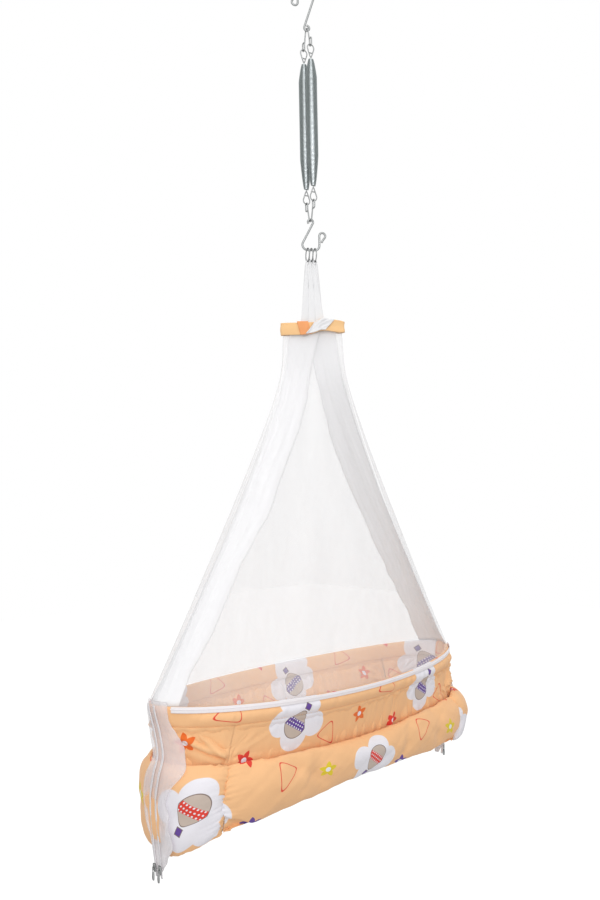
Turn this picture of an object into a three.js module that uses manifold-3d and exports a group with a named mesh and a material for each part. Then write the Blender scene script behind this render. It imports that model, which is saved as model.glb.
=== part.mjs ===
// Hanging baby cradle: a padded cloth tub under a net, hung on two extension springs.
// Millimetres, +Z up. The origin is the seat inside the top of the upper hook, which a ceiling bar fills.
// +X runs along the cradle, and the side with the long zip faces -Y.
import * as THREE from "three";
import * as BufferGeometryUtils from "three/addons/utils/BufferGeometryUtils.js";
import Module from "manifold-3d";

const wasm = await Module();
wasm.setup();

// Heights
const rimDrop = 1289;
const wallHeight = 150;

// Running and seating clearances
const seatGap = 0.3;
const clothGap = 0.4;

// Steel wire
const hookWire = 4;
const linkWire = 2.6;
const eyeWire = 2.2;
const ringWire = 2.2;

// Directions of the hanging chain, in degrees about +Z
const hookYaw = -30;
const springYaw = -12;
const collarYaw = -40;

// The two S hooks
const upperHookReach = 80;
const lowerHookHeight = 59;
const hookEyeRadius = 5;
const hookCornerRadius = 9.5;
const hookFlatHalf = 7.3;
const hookLeg = 19;
const curlRadius = 6;
const curlTail = 7;
const upperEyeStart = 270;
const lowerEyeStart = 215;

// The V links, whose bend wraps a hook and whose eyes hold the springs
const vBendRadius = 4;
const vEyeDrop = 27;
const vEyeRadius = 3.3;
const vEyeHalfStraight = 4.9;

// The springs and the wire eyes at their ends
const springSpacing = 24;
const springLength = 247;
const springWidth = 22;
const springTipWidth = 13;
const springWire = 3.2;
const springCurls = 32;
const topCone = 26;
const bottomCone = 58;
const eyeLength = 25;
const eyeHalfWidth = 5.4;
const eyeWaistShare = 0.75;
const eyeCrownRadius = 3;
const eyeBarAt = 17;
const eyeBarOverhang = 1.2;
const stemLength = 17;
const stemGap = 3;
const headLength = 4;
const headSides = 10;

// The three rings and the neck straps
const ringRadius = 12.6;
const ringSpacing = 7;
const strapThick = 1.4;
const strapWidth = 6;
const strapLoopGap = 0.75;
const strapLowSpacing = 14;
const strapLowWidth = 12.4;
const strapLowThick = 2.2;
const strapTuck = 5;
const strapThinShare = 0.7;
const strapSewnGap = 0.8;

// The collar
const collarDrop = 643;
const collarHeight = 23;
const collarHalfLength = 61;
const collarHalfDepth = 9;
const collarWall = 2.5;
const collarPower = 3;
const patchWidth = 36;
const patchHeight = 15;
const patchThick = 1;

// The net and the slings
const netThick = 1.2;
const slingThick = 1.5;
const netTuck = 7;
const slingInset = 2.6;
const netRimInset = 2.2;
const netFoldDepth = 5;
const netFolds = 5;
const netSeamAngle = 0.12;
const netSeat = 0.6;
const foldPower = 0.8;
const flareStartShare = 0.12;
const flareSoftShare = 0.004;
const flarePower = 1.15;
const slingHalfAngle = 0.31;
const slingSpreadAngle = 0.25;
const slingTurnAngle = 1.25;

// The tub's plan at its rim and at its base
const rimHalfLength = 370;
const rimHalfWidth = 130;
const rimPower = 1.9;
const rimSag = 11;
const baseHalfLength = 345;
const baseHalfWidth = 92;
const basePower = 4;
const cornerAngle = 0.75;
const splitAngle = 0.006;
const wallSplitAngle = 0.0015;

// The tub's hem, walls and bottom
const hemHeight = 32;
const hemThick = 10;
const hemRound = 1.5;
const wallThick = 6;
const zipTapeHeight = 12;
const zipTapeThick = 1.4;
const zipTapeStand = 1;
const coverThick = 2;
const boardThick = 4;
const mattressThick = 30;
const mattressCrown = 6;
const mattressRoll = 7.5;
const bottomInset = 3;
const coverInset = 3.5;

// The bolsters sewn along the walls
const sideTop = 94;
const endTop = 84;
const cornerTop = 84;
const sideBottom = 177;
const leftEndBottom = 236;
const rightEndBottom = 214;
const cornerBottom = 200;
const sideSwell = 28;
const leftEndSwell = 22;
const rightEndSwell = 32;
const bolsterSplitAngle = 0.012;
const bolsterPinchShare = 0.55;
const bolsterPinchPower = 5;
const bolsterUnderShare = 0.92;
const bolsterRoundPower = 0.7;

// The sheer strips down the ends, with their zips
const stripThick = 1.2;
const stripGap = 0.85;
const stripShoulderShare = 0.3;
const stripShoulderDrop = 76;
const stripSwellShare = 0.8;
const stripSwellDrop = 100;
const stripCrownTop = 135;
const stripStand = 2.6;
const stripCrownDrop = 160;
const stripTipOut = 14;
const leftTipDrop = 262;
const rightTipDrop = 236;
const zipSpacing = 14;
const zipWidth = 6;
const zipThick = 1;

// Zip sliders and their pull tabs
const sliderWidth = 8;
const sliderLength = 12;
const sliderThick = 3;
const sliderRest = 14;
const archWire = 1.2;
const archHalfLength = 3.6;
const archRise = 3.2;
const tabWidth = 6;
const tabLength = 19;
const tabThick = 1.1;
const tabBar = 1.4;
const tabWindow = 5.4;
const tabWindowWidth = 3.2;

// How finely round things are cut
const wireSides = 6;
const springSides = 5;
const springSteps = 8;
const arcStep = 30;
const hemSteps = 28;
const stripSteps = 4;
const sideSteps = 14;
const endSteps = 10;
const padSteps = 28;
const collarSteps = 24;

const up = new THREE.Vector3(0, 0, 1);
const rimZ = -rimDrop;

// A point at a distance along a level direction turned by yaw degrees, at a height
function turned(along, across, z, yaw) {
  return new THREE.Vector3(along, across, z).applyAxisAngle(up, THREE.MathUtils.degToRad(yaw));
}

function mix(low, high, share) {
  return low + (high - low) * share;
}

// Turns a mesh's faces outwards, whatever way its rows ran
function closedGeometry(positions, faces) {
  const a = new THREE.Vector3();
  const b = new THREE.Vector3();
  const c = new THREE.Vector3();
  let volume = 0;
  for (const [i, j, k] of faces) {
    a.copy(positions[i]);
    b.copy(positions[j]);
    c.copy(positions[k]);
    volume += a.dot(b.cross(c));
  }
  const outward = volume < 0 ? faces.map(([i, j, k]) => [i, k, j]) : faces;
  const geometry = new THREE.BufferGeometry();
  geometry.setAttribute("position", new THREE.Float32BufferAttribute(positions.flatMap((p) => [p.x, p.y, p.z]), 3));
  geometry.setIndex(outward.flat());
  geometry.computeVertexNormals();
  return geometry;
}

// A solid through a row of like sections; ends are closed with the given triangles, or joined if looped
function loft(sections, endFaces, looped = false) {
  const count = sections[0].length;
  const faces = [];
  const spans = looped ? sections.length : sections.length - 1;
  for (let i = 0; i < spans; i++) {
    const here = i * count;
    const next = ((i + 1) % sections.length) * count;
    for (let j = 0; j < count; j++) {
      const side = (j + 1) % count;
      faces.push([here + j, next + j, next + side], [here + j, next + side, here + side]);
    }
  }
  if (!looped) {
    const last = (sections.length - 1) * count;
    for (const [i, j, k] of endFaces) {
      faces.push([i, j, k], [last + i, last + k, last + j]);
    }
  }
  return closedGeometry(sections.flat(), faces);
}

// Triangles that close a round or convex end
function fanFaces(count) {
  return Array.from({ length: count - 2 }, (_, i) => [0, i + 1, i + 2]);
}

// Triangles that close an end of any outline, given as [across, along] pairs, in the outline's own order
function outlineFaces(outline) {
  const contour = outline.map(([x, y]) => new THREE.Vector2(x, y));
  return THREE.ShapeUtils.triangulateShape(contour, []).map((face) => face.sort((a, b) => a - b));
}

// Sections of a round or oval bar along a path, carried from point to point without twist
function barSections(points, halfAcross, halfBeside, sides, looped, firstSide) {
  const sections = [];
  const count = points.length;
  const side = new THREE.Vector3();
  const beside = new THREE.Vector3();
  for (let i = 0; i < count; i++) {
    const before = points[looped ? (i + count - 1) % count : Math.max(i - 1, 0)];
    const after = points[looped ? (i + 1) % count : Math.min(i + 1, count - 1)];
    const along = after.clone().sub(before).normalize();
    if (i === 0) {
      side.copy(firstSide);
    }
    side.addScaledVector(along, -side.dot(along)).normalize();
    beside.crossVectors(along, side);
    const section = [];
    for (let j = 0; j < sides; j++) {
      const turn = ((j + 0.5) / sides) * 2 * Math.PI;
      const point = points[i].clone();
      point.addScaledVector(side, Math.cos(turn) * halfAcross(i));
      point.addScaledVector(beside, Math.sin(turn) * halfBeside(i));
      section.push(point);
    }
    sections.push(section);
  }
  return sections;
}

// A round wire along a path that lies in one plane, whose normal is given
function wire(points, diameter, normal, looped = false, sides = wireSides) {
  const radius = () => diameter / 2;
  return loft(barSections(points, radius, radius, sides, looped, normal), fanFaces(sides), looped);
}

// A sheet of cloth of one thickness through rows of points, as a closed solid
function sheet(rows, thick) {
  const rowCount = rows.length;
  const columnCount = rows[0].length;
  const positions = [];
  for (const sign of [0.5, -0.5]) {
    for (let i = 0; i < rowCount; i++) {
      for (let j = 0; j < columnCount; j++) {
        const down = rows[Math.min(i + 1, rowCount - 1)][j].clone().sub(rows[Math.max(i - 1, 0)][j]);
        const along = rows[i][Math.min(j + 1, columnCount - 1)].clone().sub(rows[i][Math.max(j - 1, 0)]);
        const normal = down.cross(along).normalize();
        positions.push(rows[i][j].clone().addScaledVector(normal, sign * thick));
      }
    }
  }
  const far = rowCount * columnCount;
  const at = (i, j) => i * columnCount + j;
  const faces = [];
  const quad = (a, b, c, d) => faces.push([a, b, c], [a, c, d]);
  for (let i = 0; i < rowCount - 1; i++) {
    for (let j = 0; j < columnCount - 1; j++) {
      quad(at(i, j), at(i + 1, j), at(i + 1, j + 1), at(i, j + 1));
      quad(far + at(i, j), far + at(i, j + 1), far + at(i + 1, j + 1), far + at(i + 1, j));
    }
  }
  for (let j = 0; j < columnCount - 1; j++) {
    quad(at(0, j), at(0, j + 1), far + at(0, j + 1), far + at(0, j));
    quad(at(rowCount - 1, j), far + at(rowCount - 1, j), far + at(rowCount - 1, j + 1), at(rowCount - 1, j + 1));
  }
  for (let i = 0; i < rowCount - 1; i++) {
    quad(at(i, 0), far + at(i, 0), far + at(i + 1, 0), at(i + 1, 0));
    const edge = columnCount - 1;
    quad(at(i, edge), at(i + 1, edge), far + at(i + 1, edge), far + at(i, edge));
  }
  return closedGeometry(positions, faces);
}

function asManifold(geometry) {
  const bare = geometry.clone();
  bare.deleteAttribute("normal");
  bare.deleteAttribute("uv");
  const merged = BufferGeometryUtils.mergeVertices(bare, 1e-4);
  return new wasm.Manifold(
    new wasm.Mesh({
      numProp: 3,
      vertProperties: new Float32Array(merged.attributes.position.array),
      triVerts: new Uint32Array(merged.index.array),
    }),
  );
}

// Several touching solids welded into one
function welded(geometries) {
  const whole = geometries.map(asManifold).reduce((one, other) => one.add(other));
  const mesh = whole.getMesh();
  const geometry = new THREE.BufferGeometry();
  geometry.setAttribute("position", new THREE.BufferAttribute(new Float32Array(mesh.vertProperties), 3));
  geometry.setIndex(new THREE.BufferAttribute(new Uint32Array(mesh.triVerts), 1));
  geometry.computeVertexNormals();
  return geometry;
}

const finishes = {
  steel: { color: 0xa9aeb0, roughness: 0.3, metalness: 1 },
  spring_steel: { color: 0x93a3a0, roughness: 0.35, metalness: 1 },
  peach_cotton: { color: 0xf8c089, roughness: 0.9, metalness: 0 },
  binding: { color: 0xf5a94f, roughness: 0.9, metalness: 0 },
  white_cotton: { color: 0xf4f4f4, roughness: 0.9, metalness: 0 },
  sheer_net: { color: 0xf7f7f9, roughness: 0.9, metalness: 0 },
  foam: { color: 0xf1e7c8, roughness: 1, metalness: 0 },
  board: { color: 0xc9a77c, roughness: 0.9, metalness: 0 },
  zip_nylon: { color: 0xf7f7f7, roughness: 0.6, metalness: 0 },
};

const cradle = new THREE.Group();

function add(name, geometry, finish) {
  const mesh = new THREE.Mesh(geometry, new THREE.MeshStandardMaterial(finishes[finish]));
  mesh.name = name;
  cradle.add(mesh);
  return mesh;
}

// Points of an arc in the plane of a path, from one angle to another in degrees
function arcPoints(centreAcross, centreUp, radius, from, to) {
  const steps = Math.max(2, Math.round(Math.abs(to - from) / arcStep));
  return Array.from({ length: steps + 1 }, (_, i) => {
    const turn = THREE.MathUtils.degToRad(mix(from, to, i / steps));
    return [centreAcross + radius * Math.cos(turn), centreUp + radius * Math.sin(turn)];
  });
}

// An S hook with its small eye's crown at height 0 and its wide cup below
function hookPath(height, eyeStart) {
  const cupCentre = -height + hookCornerRadius;
  const side = hookFlatHalf + hookCornerRadius;
  const curlAcross = side + curlRadius;
  const curlUp = cupCentre + hookLeg;
  const tail = THREE.MathUtils.degToRad(-60);
  return [
    ...arcPoints(0, -hookEyeRadius, hookEyeRadius, eyeStart, -30),
    ...arcPoints(-hookFlatHalf, cupCentre, hookCornerRadius, 160, 270),
    ...arcPoints(hookFlatHalf, cupCentre, hookCornerRadius, 270, 360),
    ...arcPoints(curlAcross, curlUp, curlRadius, 180, -60),
    [
      curlAcross + curlRadius * Math.cos(tail) - curlTail * Math.sin(-tail) * 0.5,
      curlUp + curlRadius * Math.sin(tail) - curlTail * Math.cos(tail),
    ],
  ];
}

function upperHook() {
  const height = upperHookReach + hookWire / 2;
  const points = hookPath(height, upperEyeStart).map(([a, b]) => turned(-a, 0, -upperHookReach - b, hookYaw));
  add("upper_s_hook", wire(points, hookWire, turned(0, 1, 0, hookYaw)), "steel");
}

// A V link in the plane of the springs; sign is 1 with its bend at the top and -1 with it below
function vLinkPath(bendZ, sign) {
  const eyeAcross = springSpacing / 2;
  const eyeZ = -vEyeDrop;
  const high = eyeZ + vEyeHalfStraight;
  const low = eyeZ - vEyeHalfStraight;
  const half = [
    ...arcPoints(0, 0, vBendRadius, 90, 0),
    ...arcPoints(eyeAcross, low, vEyeRadius, 180, 360),
    ...arcPoints(eyeAcross, high, vEyeRadius, 0, 120),
  ];
  half.splice(4, 0, [eyeAcross - vEyeRadius, high]);
  const left = half.slice(1).reverse().map(([a, b]) => [-a, b]);
  return [...left, ...half].map(([a, b]) => turned(0, a, bendZ + sign * b, springYaw));
}

function vLink(name, bendZ, sign) {
  add(name, wire(vLinkPath(bendZ, sign), linkWire, turned(1, 0, 0, springYaw)), "steel");
}

// The tapered head on an eye's stem, which the spring's coned end holds, as [radius, distance] pairs
function headProfile(sign) {
  const depth = stemLength - stemGap;
  const room = (at) => {
    const middle = coilRadius(sign > 0 ? at : springLength - at);
    return middle * Math.cos(Math.PI / springSteps) - springWire / 2 - seatGap;
  };
  const far = eyeLength + stemLength;
  return [
    [room(depth - headLength), far - headLength],
    [room(depth), far],
  ];
}

// A spring's wire eye: a teardrop loop with a crossbar and a headed stem, its crown at crownZ
function springEye(name, side, crownZ, sign) {
  const across = (side * springSpacing) / 2;
  const widest = eyeCrownRadius + eyeHalfWidth;
  const place = ([a, b]) => turned(a, across, crownZ - sign * b, springYaw);
  const loop = [
    ...arcPoints(0, -eyeCrownRadius, eyeCrownRadius, 150, 30),
    [eyeHalfWidth, -widest],
    [eyeHalfWidth * eyeWaistShare, -eyeBarAt],
    [eyeWire / 2, -eyeLength],
    [-eyeWire / 2, -eyeLength],
    [-eyeHalfWidth * eyeWaistShare, -eyeBarAt],
    [-eyeHalfWidth, -widest],
  ].map(([a, b]) => place([a, -b]));
  const flat = turned(0, 1, 0, springYaw);
  const barHalf = eyeHalfWidth * eyeWaistShare + eyeBarOverhang;
  const bar = [place([-barHalf, eyeBarAt]), place([barHalf, eyeBarAt])];
  const stem = [place([0, eyeLength - eyeWire / 2]), place([0, eyeLength + stemLength])];
  const rounds = headProfile(sign).map(([radius, away]) =>
    ovalPoints(headSides, radius, radius, 2).map(({ x, y }) => turned(x, across + y, crownZ - sign * away, springYaw)),
  );
  const head = loft(rounds, fanFaces(headSides));
  const parts = [wire(loop, eyeWire, flat, true), wire(bar, eyeWire, flat), wire(stem, eyeWire, flat), head];
  add(name, welded(parts), "steel");
}

// The half-width of a spring's coil, at its wire's middle, at a depth below the spring's top
function coilRadius(depth) {
  const full = (springWidth - springWire) / 2;
  const tip = (springTipWidth - springWire) / 2;
  const inTop = Math.min(depth / topCone, 1);
  const inBottom = Math.min((springLength - depth) / bottomCone, 1);
  const ease = (share) => Math.sin((share * Math.PI) / 2);
  return tip + (full - tip) * Math.min(ease(inTop), ease(inBottom));
}

function springPoints(side, topZ) {
  const across = (side * springSpacing) / 2;
  const run = springLength - 2 * springWire;
  const steps = springCurls * springSteps;
  const points = [];
  for (let i = 0; i <= steps; i++) {
    const depth = springWire + (run * i) / steps;
    const turn = (i / springSteps) * 2 * Math.PI;
    const radius = coilRadius(depth);
    points.push(turned(radius * Math.cos(turn), across + radius * Math.sin(turn), topZ - depth, springYaw));
  }
  const first = points[0].clone();
  const last = points[points.length - 1].clone();
  points.unshift(first.setZ(topZ));
  points.push(last.setZ(topZ - springLength));
  return points;
}

// The least clear distance between one curl and another, on the middle line's points
function leastGap(points) {
  let least = Infinity;
  for (let i = 0; i < points.length; i++) {
    for (let j = i + springSteps / 2; j < points.length; j++) {
      least = Math.min(least, points[i].distanceTo(points[j]));
    }
  }
  return least - springWire;
}

function spring(name, side, topZ) {
  const points = springPoints(side, topZ);
  console.log(`${name}: least gap between curls ${leastGap(points).toFixed(2)} mm`);
  const radius = () => springWire / 2;
  const sections = barSections(points, radius, radius, springSides, false, turned(1, 0, 0, springYaw));
  add(name, loft(sections, fanFaces(springSides)), "spring_steel");
}

function lowerHook(crownZ) {
  const points = hookPath(lowerHookHeight, lowerEyeStart).map(([a, b]) => turned(a, 0, crownZ + b, hookYaw));
  add("lower_s_hook", wire(points, hookWire, turned(0, 1, 0, hookYaw)), "steel");
}

function hangingRing(name, along, centreZ) {
  const points = arcPoints(0, 0, ringRadius, 0, 360).slice(1);
  const placed = points.map(([a, b]) => turned(along, a, centreZ + b, hookYaw));
  add(name, wire(placed, ringWire, turned(1, 0, 0, hookYaw), true), "steel");
}

// A doubled cloth strap: over a ring's wire and down into the collar on both sides
function neckStrap(name, place, ringZ) {
  const bend = ringWire / 2 + strapLoopGap + strapThick / 2;
  const top = place * ringSpacing;
  const low = place * strapLowSpacing;
  const lowZ = -collarDrop - strapTuck;
  const lowOffset = collarHalfDepth - collarWall - strapSewnGap - strapLowThick / 2;
  const steps = 6;
  const leg = (sign) =>
    Array.from({ length: steps }, (_, i) => {
      const share = 1 - i / steps;
      const ease = share * share * (3 - 2 * share);
      const along = mix(top + sign * bend, low, share);
      const yaw = mix(hookYaw, collarYaw, share);
      return { share: ease, point: turned(along, sign * lowOffset * ease, mix(ringZ, lowZ, share), yaw) };
    });
  const over = arcPoints(0, 0, bend, 180, 0).map(([a, b]) => ({
    share: 0,
    point: turned(top + a, 0, ringZ + b, hookYaw),
  }));
  const path = [...leg(-1), ...over, ...leg(1).reverse()];
  const points = path.map(({ point }) => point);
  const halfAcross = (i) => mix(strapWidth, strapLowThick, Math.min(1, path[i].share / strapThinShare)) / 2;
  const halfBeside = (i) => mix(strapThick, strapLowWidth, path[i].share) / 2;
  const sections = barSections(points, halfAcross, halfBeside, wireSides, false, turned(0, 1, 0, hookYaw));
  add(name, loft(sections, fanFaces(wireSides)), "white_cotton");
}

// A point of an oval with squared corners, on the ray that a plain ellipse has at that angle
function planPoint(angle, halfLength, halfWidth, power) {
  const c = Math.cos(angle);
  const s = Math.sin(angle);
  const reach = (Math.abs(c) ** power + Math.abs(s) ** power) ** (1 / power);
  return new THREE.Vector2((halfLength * c) / reach, (halfWidth * s) / reach);
}

function ovalPoints(steps, halfLength, halfWidth, power) {
  return Array.from({ length: steps }, (_, i) =>
    planPoint((i / steps) * 2 * Math.PI, halfLength, halfWidth, power),
  );
}

function collar() {
  const outer = ovalPoints(collarSteps, collarHalfLength, collarHalfDepth, collarPower);
  const inner = ovalPoints(collarSteps, collarHalfLength - collarWall, collarHalfDepth - collarWall, collarPower);
  const shape = new THREE.Shape(outer);
  shape.holes.push(new THREE.Path(inner.reverse()));
  const geometry = new THREE.ExtrudeGeometry(shape, { depth: collarHeight, bevelEnabled: false });
  const band = add("collar_band", geometry, "binding");
  band.position.z = -collarDrop - collarHeight;
  band.rotation.z = THREE.MathUtils.degToRad(collarYaw);
  const patch = add("collar_patch", new THREE.BoxGeometry(patchWidth, patchThick, patchHeight), "white_cotton");
  const patchY = -collarHalfDepth - seatGap - patchThick / 2;
  patch.position.copy(turned(0, patchY, -collarDrop - collarHeight / 2, collarYaw));
  patch.rotation.z = THREE.MathUtils.degToRad(collarYaw);
}

// The plan of the tub's wall at a drop below the rim, as a place and the way that faces out
function wallPlan(angle, drop) {
  const share = THREE.MathUtils.clamp(drop / wallHeight, 0, 1);
  const at = (turn) => {
    const rim = planPoint(turn, rimHalfLength, rimHalfWidth, rimPower);
    return rim.lerp(planPoint(turn, baseHalfLength, baseHalfWidth, basePower), share);
  };
  const nudge = 0.01;
  const along = at(angle + nudge).sub(at(angle - nudge)).normalize();
  return { point: at(angle), outward: new THREE.Vector2(along.y, -along.x) };
}

// How far the rim's middle hangs under its ends, fading out towards the base
function sagAt(angle, drop) {
  const share = THREE.MathUtils.clamp(drop / wallHeight, 0, 1);
  return rimSag * Math.sin(angle) ** 2 * (1 - share);
}

// A point of the tub: outwards from the wall's outer face and below the rim's top
function tubPoint(angle, out, drop) {
  const { point, outward } = wallPlan(angle, drop);
  return new THREE.Vector3(
    point.x + outward.x * out,
    point.y + outward.y * out,
    rimZ - drop - sagAt(angle, drop),
  );
}

// A piece that runs along the tub's wall between two angles, with an outline of [out, drop] pairs;
// its two ends are drawn back by endGap from the angles given
function alongWall(from, to, steps, outline, endGap = 0) {
  const sections = [];
  for (let i = 0; i <= steps; i++) {
    const share = i / steps;
    const drawn = i === 0 ? endGap : i === steps ? -endGap : 0;
    const angle = mix(from, to, share) + drawn;
    sections.push(outline(share).map(([out, drop]) => tubPoint(angle, out, drop)));
  }
  return loft(sections, outlineFaces(outline(0.5)));
}

const frontFrom = Math.PI + splitAngle;
const frontTo = 2 * Math.PI - splitAngle;
const backFrom = splitAngle;
const backTo = Math.PI - splitAngle;
const hemStep = (frontTo - frontFrom) / hemSteps;

function hemOutline() {
  const low = hemHeight;
  return [
    [-hemRound, 0],
    [-hemThick + hemRound, 0],
    [-hemThick, hemRound],
    [-hemThick, low - hemRound],
    [-hemThick + hemRound, low],
    [-hemRound, low],
    [0, low - hemRound],
    [0, hemRound],
  ];
}

function zipTapeOutline() {
  const inner = seatGap;
  const outer = seatGap + zipTapeThick;
  const low = zipTapeHeight - zipTapeStand;
  return [
    [inner, -zipTapeStand],
    [outer, -zipTapeStand],
    [outer, low],
    [inner, low],
  ];
}

function rim() {
  add("front_hem", alongWall(frontFrom, frontTo, hemSteps, hemOutline), "peach_cotton");
  add("back_hem", alongWall(backFrom, backTo, hemSteps, hemOutline), "peach_cotton");
  const past = (stripSteps + 0.5) * hemStep;
  const tape = alongWall(frontFrom + past, frontTo - past, (hemSteps - 2 * stripSteps - 1) * 2, zipTapeOutline);
  add("front_zip_tape", tape, "zip_nylon");
}

// The tub's four sides: the angles between its corners, and the top, bottom and swell of the bolster
const sides = [
  {
    name: "front",
    from: Math.PI + cornerAngle,
    to: 2 * Math.PI - cornerAngle,
    steps: sideSteps,
    top: sideTop,
    low: sideBottom,
    swell: sideSwell,
  },
  {
    name: "back",
    from: cornerAngle,
    to: Math.PI - cornerAngle,
    steps: sideSteps,
    top: sideTop,
    low: sideBottom,
    swell: sideSwell,
  },
  {
    name: "left_end",
    from: Math.PI - cornerAngle,
    to: Math.PI + cornerAngle,
    steps: endSteps,
    top: endTop,
    low: leftEndBottom,
    swell: leftEndSwell,
  },
  {
    name: "right_end",
    from: -cornerAngle,
    to: cornerAngle,
    steps: endSteps,
    top: endTop,
    low: rightEndBottom,
    swell: rightEndSwell,
  },
];

// A drop that has one value in the middle of a side and another where the sides meet
function towardsCorner(middle, corner, share) {
  return mix(middle, corner, (2 * share - 1) ** 2);
}

// The drops at which a wall has points, and the bolster's inner face with it
function wallLevels({ top }, share) {
  const low = wallHeight - seatGap;
  const high = towardsCorner(top, cornerTop, share);
  return [high, (high + low) / 2, low];
}

function wallOutline(side, share) {
  const levels = [hemHeight + seatGap, ...wallLevels(side, share)];
  const outer = levels.map((drop) => [0, drop]);
  const inner = levels.map((drop) => [-wallThick, drop]).reverse();
  return [...outer, ...inner];
}

function walls() {
  for (const side of sides) {
    const outline = (share) => wallOutline(side, share);
    add(`${side.name}_wall`, alongWall(side.from, side.to, side.steps, outline, wallSplitAngle), "peach_cotton");
  }
}

// The crowned outline of a bolster, drawn in towards its ends; its inner face comes first
function bolsterOutline(side, share) {
  const away = Math.abs(2 * share - 1);
  const fill = 1 - bolsterPinchShare * away ** bolsterPinchPower;
  const top = towardsCorner(side.top, cornerTop, share);
  const low = towardsCorner(side.low, cornerBottom, share);
  const middle = (top + low) / 2;
  const half = (low - top) / 2;
  const inner = [...wallLevels(side, share), low].map((drop) => [clothGap, drop]);
  const outer = [-80, -55, -25, 0, 25, 55, 80].map((degrees) => {
    const turn = THREE.MathUtils.degToRad(degrees);
    const lean = degrees < 0 ? bolsterUnderShare : 1;
    const out = side.swell * fill * Math.cos(turn) ** bolsterRoundPower * lean;
    return [clothGap + out, middle - half * Math.sin(turn)];
  });
  return [...inner, ...outer];
}

function bolsters() {
  for (const side of sides) {
    const outline = (share) => bolsterOutline(side, share);
    const bolster = alongWall(side.from, side.to, side.steps, outline, bolsterSplitAngle);
    add(`${side.name}_bolster`, bolster, "peach_cotton");
  }
}

// A flat-bottomed oval pad built up from level outlines, each [inset, height above the pad's bottom]
function ovalPad(name, inset, bottomZ, levels, finish) {
  const sections = levels.map(([shrink, height]) =>
    ovalPoints(padSteps, baseHalfLength - inset - shrink, baseHalfWidth - inset - shrink, basePower).map(
      (point) => new THREE.Vector3(point.x, point.y, bottomZ + height),
    ),
  );
  add(name, loft(sections, fanFaces(padSteps)), finish);
}

function bottom() {
  const coverTop = rimZ - wallHeight;
  const board = coverTop + seatGap;
  const mattress = board + boardThick + seatGap;
  const inside = wallThick + bottomInset;
  const flat = (thick) => [
    [0, 0],
    [0, thick],
  ];
  ovalPad("base_cover", coverInset, coverTop - coverThick, flat(coverThick), "peach_cotton");
  ovalPad("base_board", inside, board, flat(boardThick), "board");
  const crownTop = mattressThick + mattressCrown;
  const levels = [
    [mattressRoll, 0],
    [0, mattressRoll],
    [0, mattressThick - mattressRoll],
    [mattressRoll, mattressThick],
    [baseHalfWidth / 2, crownTop],
  ];
  ovalPad("mattress", inside, mattress, levels, "foam");
}

// How far the net has opened from the collar towards the rim, from 0 to 1
function flare(share) {
  const curve = (at) => {
    const past = at - flareStartShare;
    return ((past + Math.sqrt(past * past + flareSoftShare)) / 2) ** flarePower;
  };
  return (curve(share) - curve(0)) / (curve(1) - curve(0));
}

// A point of the tent between the collar and the rim
function tentPoint(angle, share) {
  const length = collarHalfLength - collarWall - netRimInset;
  const depth = collarHalfDepth - collarWall - netThick;
  const top = planPoint(angle, length, depth, 2);
  const high = turned(top.x, top.y, -collarDrop - collarHeight + netTuck, collarYaw);
  const low = tubPoint(angle, -netRimInset, 0);
  low.z += netSeat;
  const open = flare(share);
  return new THREE.Vector3(mix(high.x, low.x, open), mix(high.y, low.y, open), mix(high.z, low.z, share));
}

// The same point moved level, in or out, until it lies the given distance off the tent
function besideTent(angle, share, distance) {
  const nudge = 0.004;
  const here = tentPoint(angle, share);
  const along = tentPoint(angle + nudge, share).sub(tentPoint(angle - nudge, share));
  const above = tentPoint(angle, Math.max(share - nudge, 0));
  const down = tentPoint(angle, Math.min(share + nudge, 1)).sub(above);
  const normal = along.cross(down).normalize();
  const level = new THREE.Vector2(normal.x, normal.y);
  const sign = Math.sign(level.dot(new THREE.Vector2(here.x, here.y))) || 1;
  const reach = (sign * distance) / level.length();
  level.normalize();
  return here.add(new THREE.Vector3(level.x * reach, level.y * reach, 0));
}

function net(name, from, to) {
  const rows = [];
  const rowSteps = 9;
  const columnSteps = netFolds * 5;
  for (let i = 0; i <= rowSteps; i++) {
    const row = [];
    const seam = netSeamAngle * (1 - i / rowSteps) ** 2;
    for (let j = 0; j <= columnSteps; j++) {
      const share = j / columnSteps;
      const fold = netFoldDepth * (0.5 - 0.5 * Math.cos(share * netFolds * 2 * Math.PI));
      const out = fold * Math.sin((Math.PI * i) / rowSteps) ** foldPower;
      row.push(besideTent(mix(from + seam, to - seam, share), i / rowSteps, out));
    }
    rows.push(row);
  }
  add(name, sheet(rows, netThick), "sheer_net");
}

// A sling lies just inside the net; it turns from the collar's face to the tub's end
function sling(name, endAngle) {
  const rows = [];
  const rowSteps = 11;
  const columnSteps = 5;
  for (let i = 0; i <= rowSteps; i++) {
    const share = i / rowSteps;
    const middle = endAngle + slingTurnAngle * (1 - share) ** 2;
    const half = slingHalfAngle + slingSpreadAngle * (1 - share);
    const row = [];
    for (let j = 0; j <= columnSteps; j++) {
      row.push(besideTent(mix(middle - half, middle + half, j / columnSteps), share, -slingInset));
    }
    rows.push(row);
  }
  add(name, sheet(rows, slingThick), "white_cotton");
}

// An [out, drop] profile moved outwards by the same distance everywhere, square to itself
function outset(profile, distance) {
  return profile.map(([out, drop], i) => {
    const before = profile[Math.max(i - 1, 0)];
    const after = profile[Math.min(i + 1, profile.length - 1)];
    const one = new THREE.Vector2(drop - before[1], before[0] - out);
    const other = new THREE.Vector2(after[1] - drop, out - after[0]);
    const first = (i === 0 ? other : one).clone().normalize();
    const second = (i === profile.length - 1 ? one : other).clone().normalize();
    const miter = first.clone().add(second).normalize();
    const reach = distance / miter.dot(first);
    return [out + miter.x * reach, drop + miter.y * reach];
  });
}

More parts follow.
